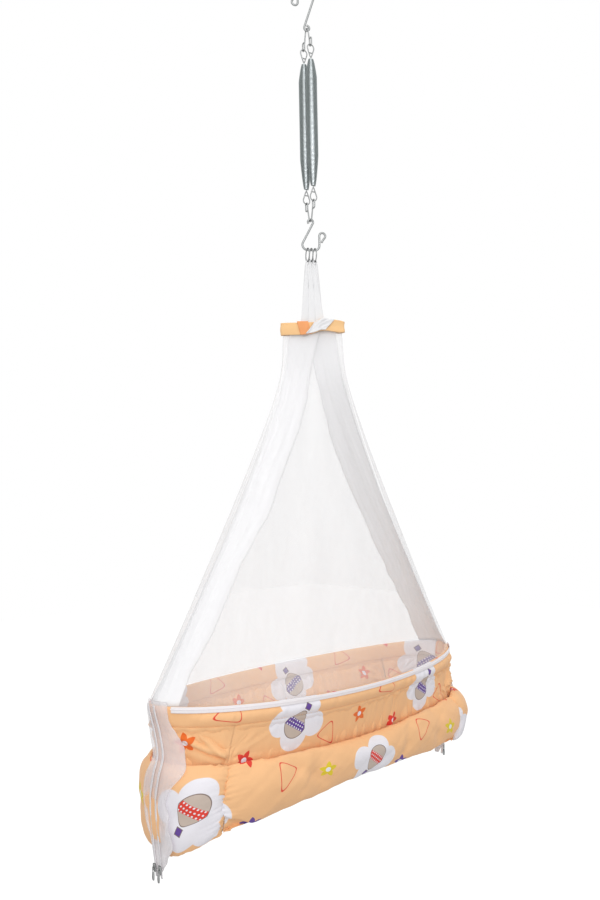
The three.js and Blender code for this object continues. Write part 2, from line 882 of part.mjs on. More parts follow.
// The tub's two ends, and where the sheer strip over each one ends
const ends = {
  left: { turn: Math.PI, sign: -1, swell: leftEndSwell, tipDrop: leftTipDrop },
  right: { turn: 0, sign: 1, swell: rightEndSwell, tipDrop: rightTipDrop },
};

// The sheer strip's profile over the hem and the end bolster, as [out, drop] pairs
function stripProfile({ swell, tipDrop }) {
  const hug = stripGap + stripThick / 2;
  const crownOut = swell + stripStand;
  return [
    [hug, -zipTapeStand],
    [hug, hemHeight],
    [mix(hug, crownOut, stripShoulderShare), stripShoulderDrop],
    [mix(hug, crownOut, stripSwellShare), stripSwellDrop],
    [crownOut, stripCrownTop],
    [crownOut, stripCrownDrop],
    [mix(crownOut, stripTipOut, 1 / 3), mix(stripCrownDrop, tipDrop, 1 / 3)],
    [mix(crownOut, stripTipOut, 2 / 3), mix(stripCrownDrop, tipDrop, 2 / 3)],
    [stripTipOut, tipDrop],
  ];
}

// How wide the strip is at each point of its profile, as shares of its full width
const stripWidthShares = [1, 1, 1, 1, 1, 1, 0.9, 0.55, 0.2];

function endStrip(name, end) {
  const half = [];
  for (let k = 0; k <= stripSteps; k++) {
    half.push(splitAngle + k * hemStep);
  }
  const columns = [...half.slice().reverse().map((turn) => -turn), ...half];
  const rows = stripProfile(end).map(([out, drop], i) =>
    columns.map((turn) => tubPoint(end.turn + turn * stripWidthShares[i], out, drop)),
  );
  add(name, sheet(rows, stripThick), "sheer_net");
}

// The zips down the ends: which end, and how far from the end's middle
const zips = [
  { name: "left_front", end: ends.left, across: -zipSpacing / 2 },
  { name: "left_rear", end: ends.left, across: zipSpacing / 2 },
  { name: "right_front", end: ends.right, across: -zipSpacing / 2 },
];

// A place on the middle line of the tub's end, moved across it
function endPoint(end, across, out, drop) {
  const { point } = wallPlan(end.turn, drop);
  return new THREE.Vector3(point.x + end.sign * out, across, rimZ - drop);
}

const zipStand = stripThick / 2 + seatGap + zipThick / 2;

function endZip({ name, end, across }) {
  const rows = outset(stripProfile(end), zipStand).map(([out, drop]) =>
    [-0.5, 0.5].map((share) => endPoint(end, across + share * zipWidth, out, drop)),
  );
  add(`${name}_zip`, sheet(rows, zipThick), "zip_nylon");
}

// A frame on the zip's straight lower run: local +X out of the fabric, local +Z up the run
function onRun(end, across, upRun, stand) {
  const runOut = end.swell + stripStand - stripTipOut;
  const tilt = Math.atan2(runOut, end.tipDrop - stripCrownDrop);
  const frame = new THREE.Group();
  frame.position.copy(endPoint(end, across, stripTipOut, end.tipDrop));
  frame.position.x += end.sign * (upRun * Math.sin(tilt) + stand * Math.cos(tilt));
  frame.position.z += upRun * Math.cos(tilt) - stand * Math.sin(tilt);
  frame.rotation.set(0, tilt, end.sign > 0 ? 0 : Math.PI, "ZYX");
  return frame;
}

const sliderStand = zipStand + zipThick / 2 + seatGap;

function zipSlider({ name, end, across }) {
  const body = new THREE.BoxGeometry(sliderThick, sliderWidth, sliderLength);
  body.translate(sliderThick / 2, 0, 0);
  const arch = arcPoints(0, 0, 1, 90, -90).map(
    ([out, along]) => new THREE.Vector3(sliderThick - archWire / 2 + out * archRise, 0, along * archHalfLength),
  );
  arch.unshift(arch[0].clone().setX(sliderThick / 2));
  arch.push(arch[arch.length - 1].clone().setX(sliderThick / 2));
  const bow = wire(arch, archWire, new THREE.Vector3(0, 1, 0));
  const frame = onRun(end, across, sliderRest, sliderStand);
  const slider = new THREE.Mesh(welded([body, bow]), new THREE.MeshStandardMaterial(finishes.steel));
  slider.name = `${name}_zip_slider`;
  frame.add(slider);
  cradle.add(frame);
}

// The pull tab hangs plumb from its slider's bow, whose middle is its hinge
function tabHinge(end, across) {
  const stand = sliderStand + sliderThick + (archRise - archWire) / 2;
  return onRun(end, across, sliderRest, stand).position;
}

function zipPull({ name, end, across }) {
  const half = tabWidth / 2;
  const outline = new THREE.Shape();
  outline.moveTo(-half, tabBar / 2);
  outline.lineTo(-half, -tabLength + half);
  outline.absarc(0, -tabLength + half, half, Math.PI, 2 * Math.PI, false);
  outline.lineTo(half, tabBar / 2);
  const windowTop = -tabBar / 2;
  const windowLow = windowTop - tabWindow;
  const side = tabWindowWidth / 2;
  const corners = [
    [-side, windowTop],
    [side, windowTop],
    [side, windowLow],
    [-side, windowLow],
  ];
  outline.holes.push(new THREE.Path(corners.map(([x, y]) => new THREE.Vector2(x, y))));
  const geometry = new THREE.ExtrudeGeometry(outline, { depth: tabThick, bevelEnabled: false, curveSegments: 5 });
  geometry.translate(0, 0, -tabThick / 2);
  const tab = add(`${name}_zip_pull`, geometry, "steel");
  tab.position.copy(tabHinge(end, across));
  tab.rotation.set(Math.PI / 2, 0, Math.PI / 2, "ZYX");
}

// The chain from the ceiling hook down to the rings
function chain() {
  upperHook();
  const upperBend = -upperHookReach;
  vLink("upper_v_link", upperBend, 1);
  const hold = (linkWire + eyeWire) / 2 + seatGap;
  const upperCrown = upperBend - vEyeDrop - vEyeHalfStraight - vEyeRadius + hold;
  const springTop = upperCrown - eyeLength - stemGap;
  const springBottom = springTop - springLength;
  const lowerCrown = springBottom - stemGap - eyeLength;
  const lowerBend = lowerCrown + hold - vEyeRadius - vEyeHalfStraight - vEyeDrop;
  for (const [name, side] of [
    ["right", -1],
    ["left", 1],
  ]) {
    springEye(`${name}_top_eye`, side, upperCrown, 1);
    spring(`${name}_spring`, side, springTop);
    springEye(`${name}_bottom_eye`, side, lowerCrown, -1);
  }
  vLink("lower_v_link", lowerBend, -1);
  const hookCrown = lowerBend - vBendRadius + (linkWire + hookWire) / 2 + seatGap;
  lowerHook(hookCrown);
  const cup = hookCrown - lowerHookHeight;
  const ringTop = cup + (hookWire + ringWire) / 2 + seatGap;
  const ringCentre = ringTop - ringRadius;
  for (const [name, place] of [
    ["left", -1],
    ["middle", 0],
    ["right", 1],
  ]) {
    hangingRing(`${name}_ring`, place * ringSpacing, ringCentre);
    neckStrap(`${name}_neck_strap`, place, ringCentre - ringRadius);
  }
  console.log(`hinges: eye ${upperBend}, link ${lowerBend - vBendRadius}, cup ${cup}, spring top ${springTop}`);
}

chain();
collar();
net("front_net", frontFrom, frontTo);
net("back_net", backFrom, backTo);
sling("left_sling", Math.PI);
sling("right_sling", 0);
rim();
walls();
bolsters();
bottom();
endStrip("left_end_strip", ends.left);
endStrip("right_end_strip", ends.right);
for (const zip of zips) {
  endZip(zip);
  zipSlider(zip);
  zipPull(zip);
}

export default cradle;
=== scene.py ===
"""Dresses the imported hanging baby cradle: tub, net, slings, zips, springs and hooks. Metres, +Z up."""

import math

import bmesh
import bpy
import numpy as np
from bpy.props import FloatProperty, FloatVectorProperty, IntProperty, PointerProperty
from mathutils import Matrix, Vector


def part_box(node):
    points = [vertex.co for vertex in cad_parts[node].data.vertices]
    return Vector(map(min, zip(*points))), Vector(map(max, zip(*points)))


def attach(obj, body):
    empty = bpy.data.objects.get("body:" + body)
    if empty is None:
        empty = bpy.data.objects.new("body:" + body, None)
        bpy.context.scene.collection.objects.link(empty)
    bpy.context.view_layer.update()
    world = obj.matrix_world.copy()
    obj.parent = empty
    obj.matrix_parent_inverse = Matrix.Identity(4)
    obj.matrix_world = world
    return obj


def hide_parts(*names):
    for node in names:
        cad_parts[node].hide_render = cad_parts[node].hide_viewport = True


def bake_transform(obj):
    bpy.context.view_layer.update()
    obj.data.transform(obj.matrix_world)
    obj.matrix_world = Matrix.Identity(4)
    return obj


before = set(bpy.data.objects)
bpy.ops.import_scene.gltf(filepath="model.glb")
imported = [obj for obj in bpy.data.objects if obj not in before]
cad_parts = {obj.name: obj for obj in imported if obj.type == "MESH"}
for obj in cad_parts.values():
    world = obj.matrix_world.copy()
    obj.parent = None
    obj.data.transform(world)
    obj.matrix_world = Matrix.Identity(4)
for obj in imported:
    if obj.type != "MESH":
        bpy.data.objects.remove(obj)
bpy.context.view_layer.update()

bl_info = {
    "name": "Hanging baby cradle",
    "version": (1, 0, 0),
    "blender": (4, 5, 0),
    "location": "3D View > Sidebar > Cradle",
    "description": "Cloth, net, zips, springs and wire hooks over the packed cradle",
    "category": "Object",
}

# Heights, directions and the chain's wire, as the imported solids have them
RIM_Z = -1.289
WALL_HEIGHT = 0.15
SEAT_GAP = 0.0003
CLOTH_GAP = 0.0004
HOOK_YAW = -30
SPRING_YAW = -12
COLLAR_YAW = -40
UPPER_HOOK_REACH = 0.08
LOWER_HOOK_HEIGHT = 0.059
HOOK_EYE_RADIUS = 0.005
HOOK_CORNER_RADIUS = 0.0095
HOOK_FLAT_HALF = 0.0073
HOOK_LEG = 0.019
CURL_RADIUS = 0.006
CURL_TAIL = 0.0075
CURL_CLOSE = 0.0043
UPPER_EYE_START = 270
LOWER_EYE_START = 215
V_BEND_RADIUS = 0.004
V_EYE_DROP = 0.027
V_EYE_RADIUS = 0.0033
V_EYE_HALF_STRAIGHT = 0.0049

# The springs and the wire eyes at their ends
LINK_WIRE = 0.0026
EYE_WIRE = 0.0022
SPRING_WIRE = 0.0021
SPRING_SPACING = 0.024
SPRING_LENGTH = 0.247
SPRING_WIDTH = 0.022
SPRING_TIP_WIDTH = 0.008
TOP_CONE = 0.036
BOTTOM_CONE = 0.058
CONE_POWER = 0.65
EYE_LENGTH = 0.025
EYE_RADIUS = 0.0073
EYE_BAR_AT = 0.017
EYE_BAR_OVERHANG = 0.0012
STEM_LENGTH = 0.017
STEM_GAP = 0.003
HEAD_LENGTH = 0.004
HEAD_BEVEL = 0.0006

# Rings, neck straps and collar
RING_RADIUS = 0.0126
RING_SPACING = 0.007
STRAP_TUCK = 0.005
COLLAR_DROP = 0.643
COLLAR_HEIGHT = 0.023
COLLAR_HALF_LENGTH = 0.061
COLLAR_HALF_DEPTH = 0.009
COLLAR_WALL = 0.0025
COLLAR_POWER = 3
PATCH_WIDTH = 0.036

# The tent between collar and rim
NET_THICK = 0.0012
SLING_THICK = 0.0015
NET_TUCK = 0.007
SLING_INSET = 0.0026
NET_RIM_INSET = 0.0022
NET_SEAT = 0.0006
NET_SEAM_ANGLE = 0.12
FLARE_START_SHARE = 0.12
FLARE_SOFT_SHARE = 0.004
FLARE_POWER = 1.15
SLING_HALF_ANGLE = 0.31
SLING_SPREAD_ANGLE = 0.25
SLING_TURN_ANGLE = 1.25

# The tub's plan, hem, walls and bottom
RIM_HALF_LENGTH = 0.37
RIM_HALF_WIDTH = 0.13
RIM_POWER = 1.9
RIM_SAG = 0.011
BASE_HALF_LENGTH = 0.345
BASE_HALF_WIDTH = 0.092
BASE_POWER = 4
CORNER_ANGLE = 0.75
SPLIT_ANGLE = 0.006
BOLSTER_SPLIT_ANGLE = -0.016
HEM_HEIGHT = 0.032
HEM_THICK = 0.01
WALL_THICK = 0.006
ZIP_TAPE_THICK = 0.0014
ZIP_TAPE_STAND = 0.001
COVER_THICK = 0.002
BOARD_THICK = 0.004
MATTRESS_THICK = 0.03
MATTRESS_CROWN = 0.006
MATTRESS_ROLL = 0.0075
BOTTOM_INSET = 0.003
COVER_INSET = 0.0035

# The bolsters sewn along the walls
CORNER_TOP = 0.084
LEFT_CORNER = {"bottom": 0.2, "pinch": 0.3, "pleats": 1.0}
RIGHT_CORNER = {"bottom": 0.188, "pinch": 0.1, "pleats": 0.15}
CORNERS = {
    "front": (LEFT_CORNER, RIGHT_CORNER),
    "back": (RIGHT_CORNER, LEFT_CORNER),
    "left_end": (LEFT_CORNER, LEFT_CORNER),
    "right_end": (RIGHT_CORNER, RIGHT_CORNER),
}
PINCH_POWER = 7
UNDER_SHARE = 0.92
ROUND_POWER = 0.7
LEFT_END_SWELL = 0.022
RIGHT_END_SWELL = 0.032
SIDES = {
    "front": (math.pi + CORNER_ANGLE, 2 * math.pi - CORNER_ANGLE, 0.094, 0.177, 0.028),
    "back": (CORNER_ANGLE, math.pi - CORNER_ANGLE, 0.094, 0.177, 0.028),
    "left_end": (math.pi - CORNER_ANGLE, math.pi + CORNER_ANGLE, 0.084, 0.236, LEFT_END_SWELL),
    "right_end": (-CORNER_ANGLE, CORNER_ANGLE, 0.084, 0.184, RIGHT_END_SWELL),
}

# The sheer strips down the ends, their zips, sliders and pull tabs
STRIP_THICK = 0.0012
STRIP_GAP = 0.00085
STRIP_SHOULDER = (0.3, 0.076)
STRIP_SWELL = (0.8, 0.1)
STRIP_CROWN_TOP = 0.135
STRIP_CROWN_DROP = 0.16
STRIP_STAND = 0.0026
STRIP_TIP_OUT = 0.014
STRIP_HALF_ANGLE = 0.36
ENDS = {
    "left": {"turn": math.pi, "sign": -1, "swell": LEFT_END_SWELL, "tip": 0.262, "front": 1.0,
             "flat": (0.095, 0.29), "area": 0.019},
    "right": {"turn": 0.0, "sign": 1, "swell": RIGHT_END_SWELL, "tip": 0.236, "front": 0.4,
              "flat": (0.07, 0.26), "area": 0.0125},
}
ZIP_SPACING = 0.014
ZIP_TAPE_WIDTH = 0.004
ZIP_THICK = 0.001
ZIPS = {
    "left_front": ("left", -ZIP_SPACING / 2),
    "left_rear": ("left", ZIP_SPACING / 2),
    "right_front": ("right", -ZIP_SPACING / 2),
}
SLIDER_WIDTH = 0.008
SLIDER_LENGTH = 0.012
SLIDER_THICK = 0.003
SLIDER_REST = 0.014
ARCH_WIRE = 0.0012
ARCH_HALF_LENGTH = 0.0036
ARCH_RISE = 0.0032
TAB_WIDTH = 0.006
TAB_LENGTH = 0.019
TAB_THICK = 0.0011
TAB_BAR = 0.0014
TAB_WINDOW = 0.0054
TAB_WINDOW_WIDTH = 0.0032

# The photograph's camera, and the lamps with their size and place
LAMP_AIM = (0, 0, -1.1)
LAMPS = {"key": (2.6, (-3.2, -3.4, 1.0)), "top": (3.2, (-0.9, -1.2, 3.2))}
FLOOR_HALF = 6
CAMERA_AZIMUTH = 45.666
CAMERA_DISTANCE = 1.584
CAMERA_HEIGHT = -0.963
CAMERA_YAW_OFF = -1.0122
CAMERA_PITCH = 2.7881
CAMERA_ROLL = -1.0704
FOCAL_PIXELS = 845.96
IMAGE_HEIGHT = 900
SENSOR = 36.0


class CradleWire(bpy.types.PropertyGroup):
    hook_wire: FloatProperty(
        name="Hook wire", description="Thickness of the S hooks' wire", default=0.004, min=0.002, max=0.006,
        precision=4, unit="LENGTH",
    )
    link_wire: FloatProperty(
        name="Link wire", description="Thickness of the V links' wire", default=LINK_WIRE,
        min=0.0015, max=0.004, precision=4, unit="LENGTH",
    )
    eye_wire: FloatProperty(
        name="Eye wire", description="Thickness of the springs' wire eyes", default=EYE_WIRE,
        min=0.001, max=0.003, precision=4, unit="LENGTH",
    )
    ring_wire: FloatProperty(
        name="Ring wire", description="Thickness of the three rings' wire", default=0.0022,
        min=0.001, max=0.003, precision=4, unit="LENGTH",
    )
    spring_wire: FloatProperty(
        name="Spring wire", description="Thickness of the springs' wire", default=SPRING_WIRE,
        min=0.001, max=0.0032, precision=4, unit="LENGTH",
    )
    spring_curls: IntProperty(
        name="Spring curls", description="Number of curls in each spring", default=104, min=20, max=115,
    )
    steel: FloatVectorProperty(
        name="Bright steel", description="Colour of hooks, links, rings and zip pulls", subtype="COLOR",
        default=(0.36, 0.37, 0.37),
    )
    # Colour of the painted highlight down the springs' middle, which fades to a darker plated grey towards their
    # sides as painted shade.
    spring_steel: FloatVectorProperty(
        name="Spring steel", description="Colour of the zinc-plated springs", subtype="COLOR",
        default=(0.9, 0.95, 0.97),
    )


class CradleCloth(bpy.types.PropertyGroup):
    ground: FloatVectorProperty(
        name="Peach cotton", description="Ground colour of the printed cotton", subtype="COLOR",
        default=(0.93, 0.54, 0.27),
    )
    cloud: FloatVectorProperty(
        name="Clouds", description="Colour of the printed clouds", subtype="COLOR",
        default=(0.86, 0.84, 0.89),
    )
    toy: FloatVectorProperty(
        name="Balloons", description="Colour of the printed balloons", subtype="COLOR",
        default=(0.58, 0.48, 0.41),
    )
    red: FloatVectorProperty(
        name="Red", description="Red of the stars and outlines", subtype="COLOR", default=(0.76, 0.05, 0.03),
    )
    purple: FloatVectorProperty(
        name="Purple", description="Purple of the stars and baskets", subtype="COLOR",
        default=(0.13, 0.06, 0.32),
    )
    orange: FloatVectorProperty(
        name="Orange", description="Orange of the stars", subtype="COLOR", default=(0.84, 0.16, 0.02),
    )
    yellow: FloatVectorProperty(
        name="Yellow", description="Yellow of the stars", subtype="COLOR", default=(0.78, 0.6, 0.03),
    )
    binding: FloatVectorProperty(
        name="Collar cotton", description="Colour of the collar", subtype="COLOR", default=(0.95, 0.6, 0.29),
    )
    fold: FloatVectorProperty(
        name="Collar fold", description="Deeper colour of the collar's folded part", subtype="COLOR",
        default=(0.9, 0.38, 0.15),
    )
    white: FloatVectorProperty(
        name="White cotton", description="Colour of slings and straps", subtype="COLOR",
        default=(0.86, 0.86, 0.87),
    )
    gather_pitch: FloatProperty(
        name="Gather pitch", description="Usual distance between gathers of the wall cloth", default=0.017,
        min=0.006, max=0.05, precision=4, unit="LENGTH",
    )
    gather_depth: FloatProperty(
        name="Gather depth", description="Usual depth of the wall cloth's gathers", default=0.006,
        min=0, max=0.008, precision=4, unit="LENGTH",
    )
    pressure: FloatProperty(
        name="Filling pressure", description="Pressure that swells the bolsters and the mattress", default=4,
        min=0, max=12,
    )


class CradleNet(bpy.types.PropertyGroup):
    colour: FloatVectorProperty(
        name="Net", description="Colour of the net's threads", subtype="COLOR", default=(0.93, 0.92, 0.93),
    )
    cover: FloatProperty(
        name="Cover", description="Share of a net layer that its threads cover", default=0.22, min=0, max=1,
        subtype="FACTOR",
    )
    strip: FloatVectorProperty(
        name="Strip net", description="Colour of the end strips' threads", subtype="COLOR",
        default=(0.85, 0.82, 0.84),
    )
    strip_cover: FloatProperty(
        name="Strip cover", description="Share of an end strip that its threads cover", default=0.5,
        min=0, max=1, subtype="FACTOR",
    )
    folds: IntProperty(name="Folds", description="Main folds of each net", default=7, min=1, max=20)
    fold_depth: FloatProperty(
        name="Fold depth", description="Depth of the net's main folds", default=0.006, min=0, max=0.012,
        precision=4, unit="LENGTH",
    )


class CradleZips(bpy.types.PropertyGroup):
    pitch: FloatProperty(
        name="Tooth pitch", description="Distance between zip teeth", default=0.0022, min=0.001, max=0.005,
        precision=4, unit="LENGTH",
    )
    stitch: FloatProperty(
        name="Stitch length", description="Distance from one stitch to the next", default=0.0045, min=0.002,
        max=0.01, precision=4, unit="LENGTH",
    )
    teeth: FloatVectorProperty(
        name="End teeth", description="Colour of the end zips' teeth", subtype="COLOR",
        default=(0.66, 0.66, 0.68),
    )
    tape: FloatVectorProperty(
        name="Zip tape", description="Colour of the zip tapes", subtype="COLOR", default=(0.92, 0.88, 0.9),
    )


class CradleStage(bpy.types.PropertyGroup):
    dome: FloatProperty(
        name="Dome", description="Strength of the light from all round", default=0.67, min=0, max=2,
    )
    key: FloatProperty(
        name="Key lamp", description="Power of the large lamp at the front left", default=76, min=0,
        unit="POWER",
    )
    top: FloatProperty(
        name="Top lamp", description="Power of the large lamp overhead", default=50, min=0, unit="POWER",
    )
    floor: FloatVectorProperty(
        name="Floor", description="Colour of the plain floor", subtype="COLOR", default=(0.6, 0.6, 0.6),
    )
    floor_drop: FloatProperty(
        name="Floor drop", description="How far the floor is below the top hook", default=2.05,
        min=1.6, max=3, unit="LENGTH",
    )


def settings(group):
    return getattr(bpy.context.scene, group)


# Plane and space arithmetic
def mix(low, high, share):
    return low + (high - low) * share


def clamp(value):
    return np.clip(value, 0.0, 1.0)


def smooth_step(value):
    share = clamp(value)
    return share * share * (3 - 2 * share)


def unit(vectors):
    return vectors / np.maximum(np.linalg.norm(vectors, axis=-1, keepdims=True), 1e-12)


def together(*values):
    """The values as arrays of one shape."""
    return np.broadcast_arrays(*(np.asarray(value, float) for value in values))


def full_turn(steps, shift=0):
    """Angles evenly round a circle, begun a share of a step late."""
    return (np.arange(steps) + shift) / steps * 2 * math.pi


def run_lengths(path):
    """How far along a path each of its points lies."""
    return np.r_[0, np.cumsum(np.linalg.norm(np.diff(path, axis=0), axis=1))]


def resampled(path, lengths, at):
    """A path's points at given distances along it."""
    return np.stack([np.interp(at, lengths, path[:, k]) for k in range(path.shape[1])], -1)


def yawed(along, across, height, yaw):
    """Points at a level place turned by yaw degrees about +Z, at a height."""
    along, across, height = together(along, across, height)
    c, s = math.cos(math.radians(yaw)), math.sin(math.radians(yaw))
    return np.stack([along * c - across * s, along * s + across * c, height], -1)


def arc(across, up, radius, start, stop, step=6):
    """Points of an arc in the plane of a path, between two angles in degrees."""
    count = max(3, round(abs(stop - start) / step) + 1)
    turns = np.radians(np.linspace(start, stop, count))
    return np.stack([across + radius * np.cos(turns), up + radius * np.sin(turns)], -1)


def evened(points, step, closed=False):
    """The same path with its points evenly apart."""
    path = np.vstack([points, points[:1]]) if closed else points
    lengths = run_lengths(path)
    count = max(4, int(round(lengths[-1] / step)) + 1)
    even = resampled(path, lengths, np.linspace(0, lengths[-1], count))
    return even[:-1] if closed else even


def eased(points, rounds, closed=False):
    """The same path with its corners rounded by averaging neighbours."""
    path = points.copy()
    for _ in range(rounds):
        before, after = np.roll(path, 1, axis=0), np.roll(path, -1, axis=0)
        if not closed:
            before[0] = 2 * path[0] - path[1]
            after[-1] = 2 * path[-1] - path[-2]
        path = (before + 2 * path + after) / 4
    return path


def wave_noise(values, seed, octaves=3):
    """A smooth uneven curve between about -1 and 1, the same each run."""
    source = np.random.default_rng(seed)
    total = np.zeros_like(np.asarray(values, float))
    for octave in range(octaves):
        for _ in range(3):
            rate = 2.0**octave * source.uniform(0.7, 1.4)
            total = total + np.sin(2 * math.pi * (values * rate + source.uniform())) / 2.0**octave
    return total / 4.5


def plan_point(angle, half_length, half_width, power):
    """A point of an oval with squared corners, on the ray that a plain ellipse has at that angle."""
    c, s = np.cos(angle), np.sin(angle)
    reach = (np.abs(c) ** power + np.abs(s) ** power) ** (1 / power)
    return np.stack([half_length * c / reach, half_width * s / reach], -1)


def wall_place(angle, drop):
    share = clamp(np.asarray(drop, float) / WALL_HEIGHT)[..., None]
    rim = plan_point(angle, RIM_HALF_LENGTH, RIM_HALF_WIDTH, RIM_POWER)
    base = plan_point(angle, BASE_HALF_LENGTH, BASE_HALF_WIDTH, BASE_POWER)
    return mix(rim, base, share)


def wall_plan(angle, drop):
    """The tub's plan at a drop below the rim: a place and the way that faces out."""
    angle, drop = together(angle, drop)
    nudge = 0.01
    along = unit(wall_place(angle + nudge, drop) - wall_place(angle - nudge, drop))
    return wall_place(angle, drop), np.stack([along[..., 1], -along[..., 0]], -1)


def sag_at(angle, drop):
    return RIM_SAG * np.sin(angle) ** 2 * (1 - clamp(np.asarray(drop, float) / WALL_HEIGHT))


def tub_point(angle, out, drop):
    """A point of the tub: outwards from the wall's outer face and below the rim's top."""
    angle, out, drop = together(angle, out, drop)
    place, outward = wall_plan(angle, drop)
    level = place + outward * out[..., None]
    return np.concatenate([level, (RIM_Z - drop - sag_at(angle, drop))[..., None]], -1)


AROUND_ANGLES = np.linspace(-math.pi, 3 * math.pi, 2000)
AROUND_LENGTHS = run_lengths(wall_place(AROUND_ANGLES, WALL_HEIGHT / 2))


def around(angle):
    """The distance along the tub's wall at an angle, halfway down."""
    return np.interp(angle, AROUND_ANGLES, AROUND_LENGTHS)


def towards_corner(middle, corner, share):
    return mix(middle, corner, (2 * share - 1) ** 2)


def flare(share):
    """How far the tent has opened from the collar towards the rim, from 0 to 1."""
    def curve(at):
        past = at - FLARE_START_SHARE
        return ((past + np.sqrt(past * past + FLARE_SOFT_SHARE)) / 2) ** FLARE_POWER
    return (curve(share) - curve(0.0)) / (curve(1.0) - curve(0.0))


def tent_point(angle, share):
    """A point of the tent between the collar and the rim."""
    angle, share = together(angle, share)
    top = plan_point(angle, COLLAR_HALF_LENGTH - COLLAR_WALL - NET_RIM_INSET,
                     COLLAR_HALF_DEPTH - COLLAR_WALL - NET_THICK, 2)
    high = yawed(top[..., 0], top[..., 1], -COLLAR_DROP - COLLAR_HEIGHT + NET_TUCK, COLLAR_YAW)
    low = tub_point(angle, -NET_RIM_INSET, 0.0)
    low[..., 2] += NET_SEAT
    level = mix(high[..., :2], low[..., :2], flare(share)[..., None])
    height = mix(high[..., 2], low[..., 2], share)
    return np.concatenate([level, height[..., None]], -1)


def beside_tent(angle, share, distance):
    """The same point moved level until it lies the given distance off the tent."""
    nudge = 0.004
    here = tent_point(angle, share)
    along = tent_point(angle + nudge, share) - tent_point(angle - nudge, share)
    down = tent_point(angle, clamp(share + nudge)) - tent_point(angle, clamp(share - nudge))
    level = unit(np.cross(along, down))[..., :2]
    facing = np.sign(np.sum(level * here[..., :2], -1))
    reach = facing * distance / np.linalg.norm(level, axis=-1)
    here[..., :2] += unit(level) * reach[..., None]
    return here


# Meshes
def add_object(name, data):
    made = bpy.data.objects.new(name, data)
    bpy.context.scene.collection.objects.link(made)
    return made


def new_piece(name, vertices, faces, uvs=None, material=None):
    """An object from arrays; uvs has one pair for each corner of each face, in metres."""
    mesh = bpy.data.meshes.new(name)
    mesh.from_pydata(np.asarray(vertices).reshape(-1, 3).tolist(), [], faces)
    if uvs is not None:
        mesh.uv_layers.new(name="cloth").data.foreach_set("uv", np.asarray(uvs, "f").ravel())
    mesh.polygons.foreach_set("use_smooth", [True] * len(mesh.polygons))
    if material:
        mesh.materials.append(material)
    face_outwards(mesh)
    return add_object(name, mesh)


def face_outwards(mesh):
    """Turns a closed mesh's faces outwards, whatever way its rows ran."""
    edit = bmesh.new()
    edit.from_mesh(mesh)
    if edit.calc_volume(signed=True) < 0:
        bmesh.ops.reverse_faces(edit, faces=edit.faces)
    edit.to_mesh(mesh)
    edit.free()
    mesh.update()


def loft(name, sections, uv=None, looped=False, material=None):
    """A closed solid through a row of like closed sections; uv has a column more than a section's points."""
    rows, columns = sections.shape[:2]
    vertices = sections.reshape(-1, 3)
    corners = [((i, j), (i + 1, j), (i + 1, j + 1), (i, j + 1))
               for i in range(rows if looped else rows - 1) for j in range(columns)]
    faces = [tuple(i % rows * columns + j % columns for i, j in face) for face in corners]
    if not looped:
        for centre, (row, order) in enumerate(((0, 1), (rows - 1, -1)), rows * columns):
            vertices = np.vstack([vertices, sections[row].mean(axis=0)])
            for j in range(columns):
                corners.append(((row, j), (row, j + 1), (row, j))[::order])
                faces.append((row * columns + j, row * columns + (j + 1) % columns, centre)[::order])
    if uv is not None:
        last = uv.shape[0] - 1
        uv = [uv[min(i, last), j] for face in corners for i, j in face]
    return new_piece(name, vertices, faces, uv, material)


def sheet_piece(name, rows, thick, uv, material, wrap=False):
    """Cloth of one thickness through rows of points, as a thin solid; wrap joins its two side edges."""
    padded = np.concatenate([rows[:, -1:], rows, rows[:, :1]], axis=1) if wrap else rows
    along = np.gradient(padded, axis=1)
    normals = unit(np.cross(np.gradient(rows, axis=0), along[:, 1:-1] if wrap else along))
    count, columns = rows.shape[:2]
    far = count * columns
    quads = [
        tuple(row * columns + k % columns for row, k in ((i, j), (i + 1, j), (i + 1, j + 1), (i, j + 1)))
        for i in range(count - 1) for j in range(columns if wrap else columns - 1)
    ]
    faces = quads + [tuple(far + index for index in quad[::-1]) for quad in quads]
    first, last = ([(i, j) for i in range(count)] for j in (0, columns - 1))
    top, bottom = ([(i, j) for j in range(columns)] + [(i, 0)] * wrap for i in (0, count - 1))
    for order, line in ((1, bottom), (-1, top)) if wrap else ((1, first), (1, bottom), (-1, last), (-1, top)):
        for (i, j), (k, m) in zip(line, line[1:]):
            here, there = i * columns + j, k * columns + m
            faces.append((here, far + here, far + there, there)[::order])
    uvs = []
    for face in faces:
        places = [divmod(index % far, columns) for index in face]
        seam = wrap and {0, columns - 1} <= {j for _, j in places}
        uvs += [uv[i, columns if seam and j == 0 else j] for i, j in places]
    faced = np.vstack([rows + normals * thick / 2, rows - normals * thick / 2])
    return new_piece(name, faced, faces, uvs, material)


def cloth_uv(rows, wrap=False):
    """Distances across and along a grid of points, in metres, from its middle column and first row."""
    grid = np.concatenate([rows, rows[:, :1]], axis=1) if wrap else rows
    across, along = (
        np.insert(np.cumsum(np.linalg.norm(np.diff(grid, axis=axis), axis=-1), axis=axis), 0, 0, axis=axis)
        for axis in (1, 0)
    )
    return np.stack([across - across[:, across.shape[1] // 2][:, None], along], -1)


def bar_sections(points, half_across, half_beside, first_side, sides, power):
    """Sections of an oval bar along a path, carried from point to point without twist."""
    sections = []
    side = np.asarray(first_side, float)
    oval = plan_point(full_turn(sides, 0.5), 1.0, 1.0, power)
    for i, point in enumerate(points):
        along = unit(points[min(i + 1, len(points) - 1)] - points[max(i - 1, 0)])
        side = unit(side - along * np.dot(side, along))
        beside = np.cross(along, side)
        sections.append(point + oval[:, :1] * side * half_across[i] + oval[:, 1:] * beside * half_beside[i])
    return np.array(sections)


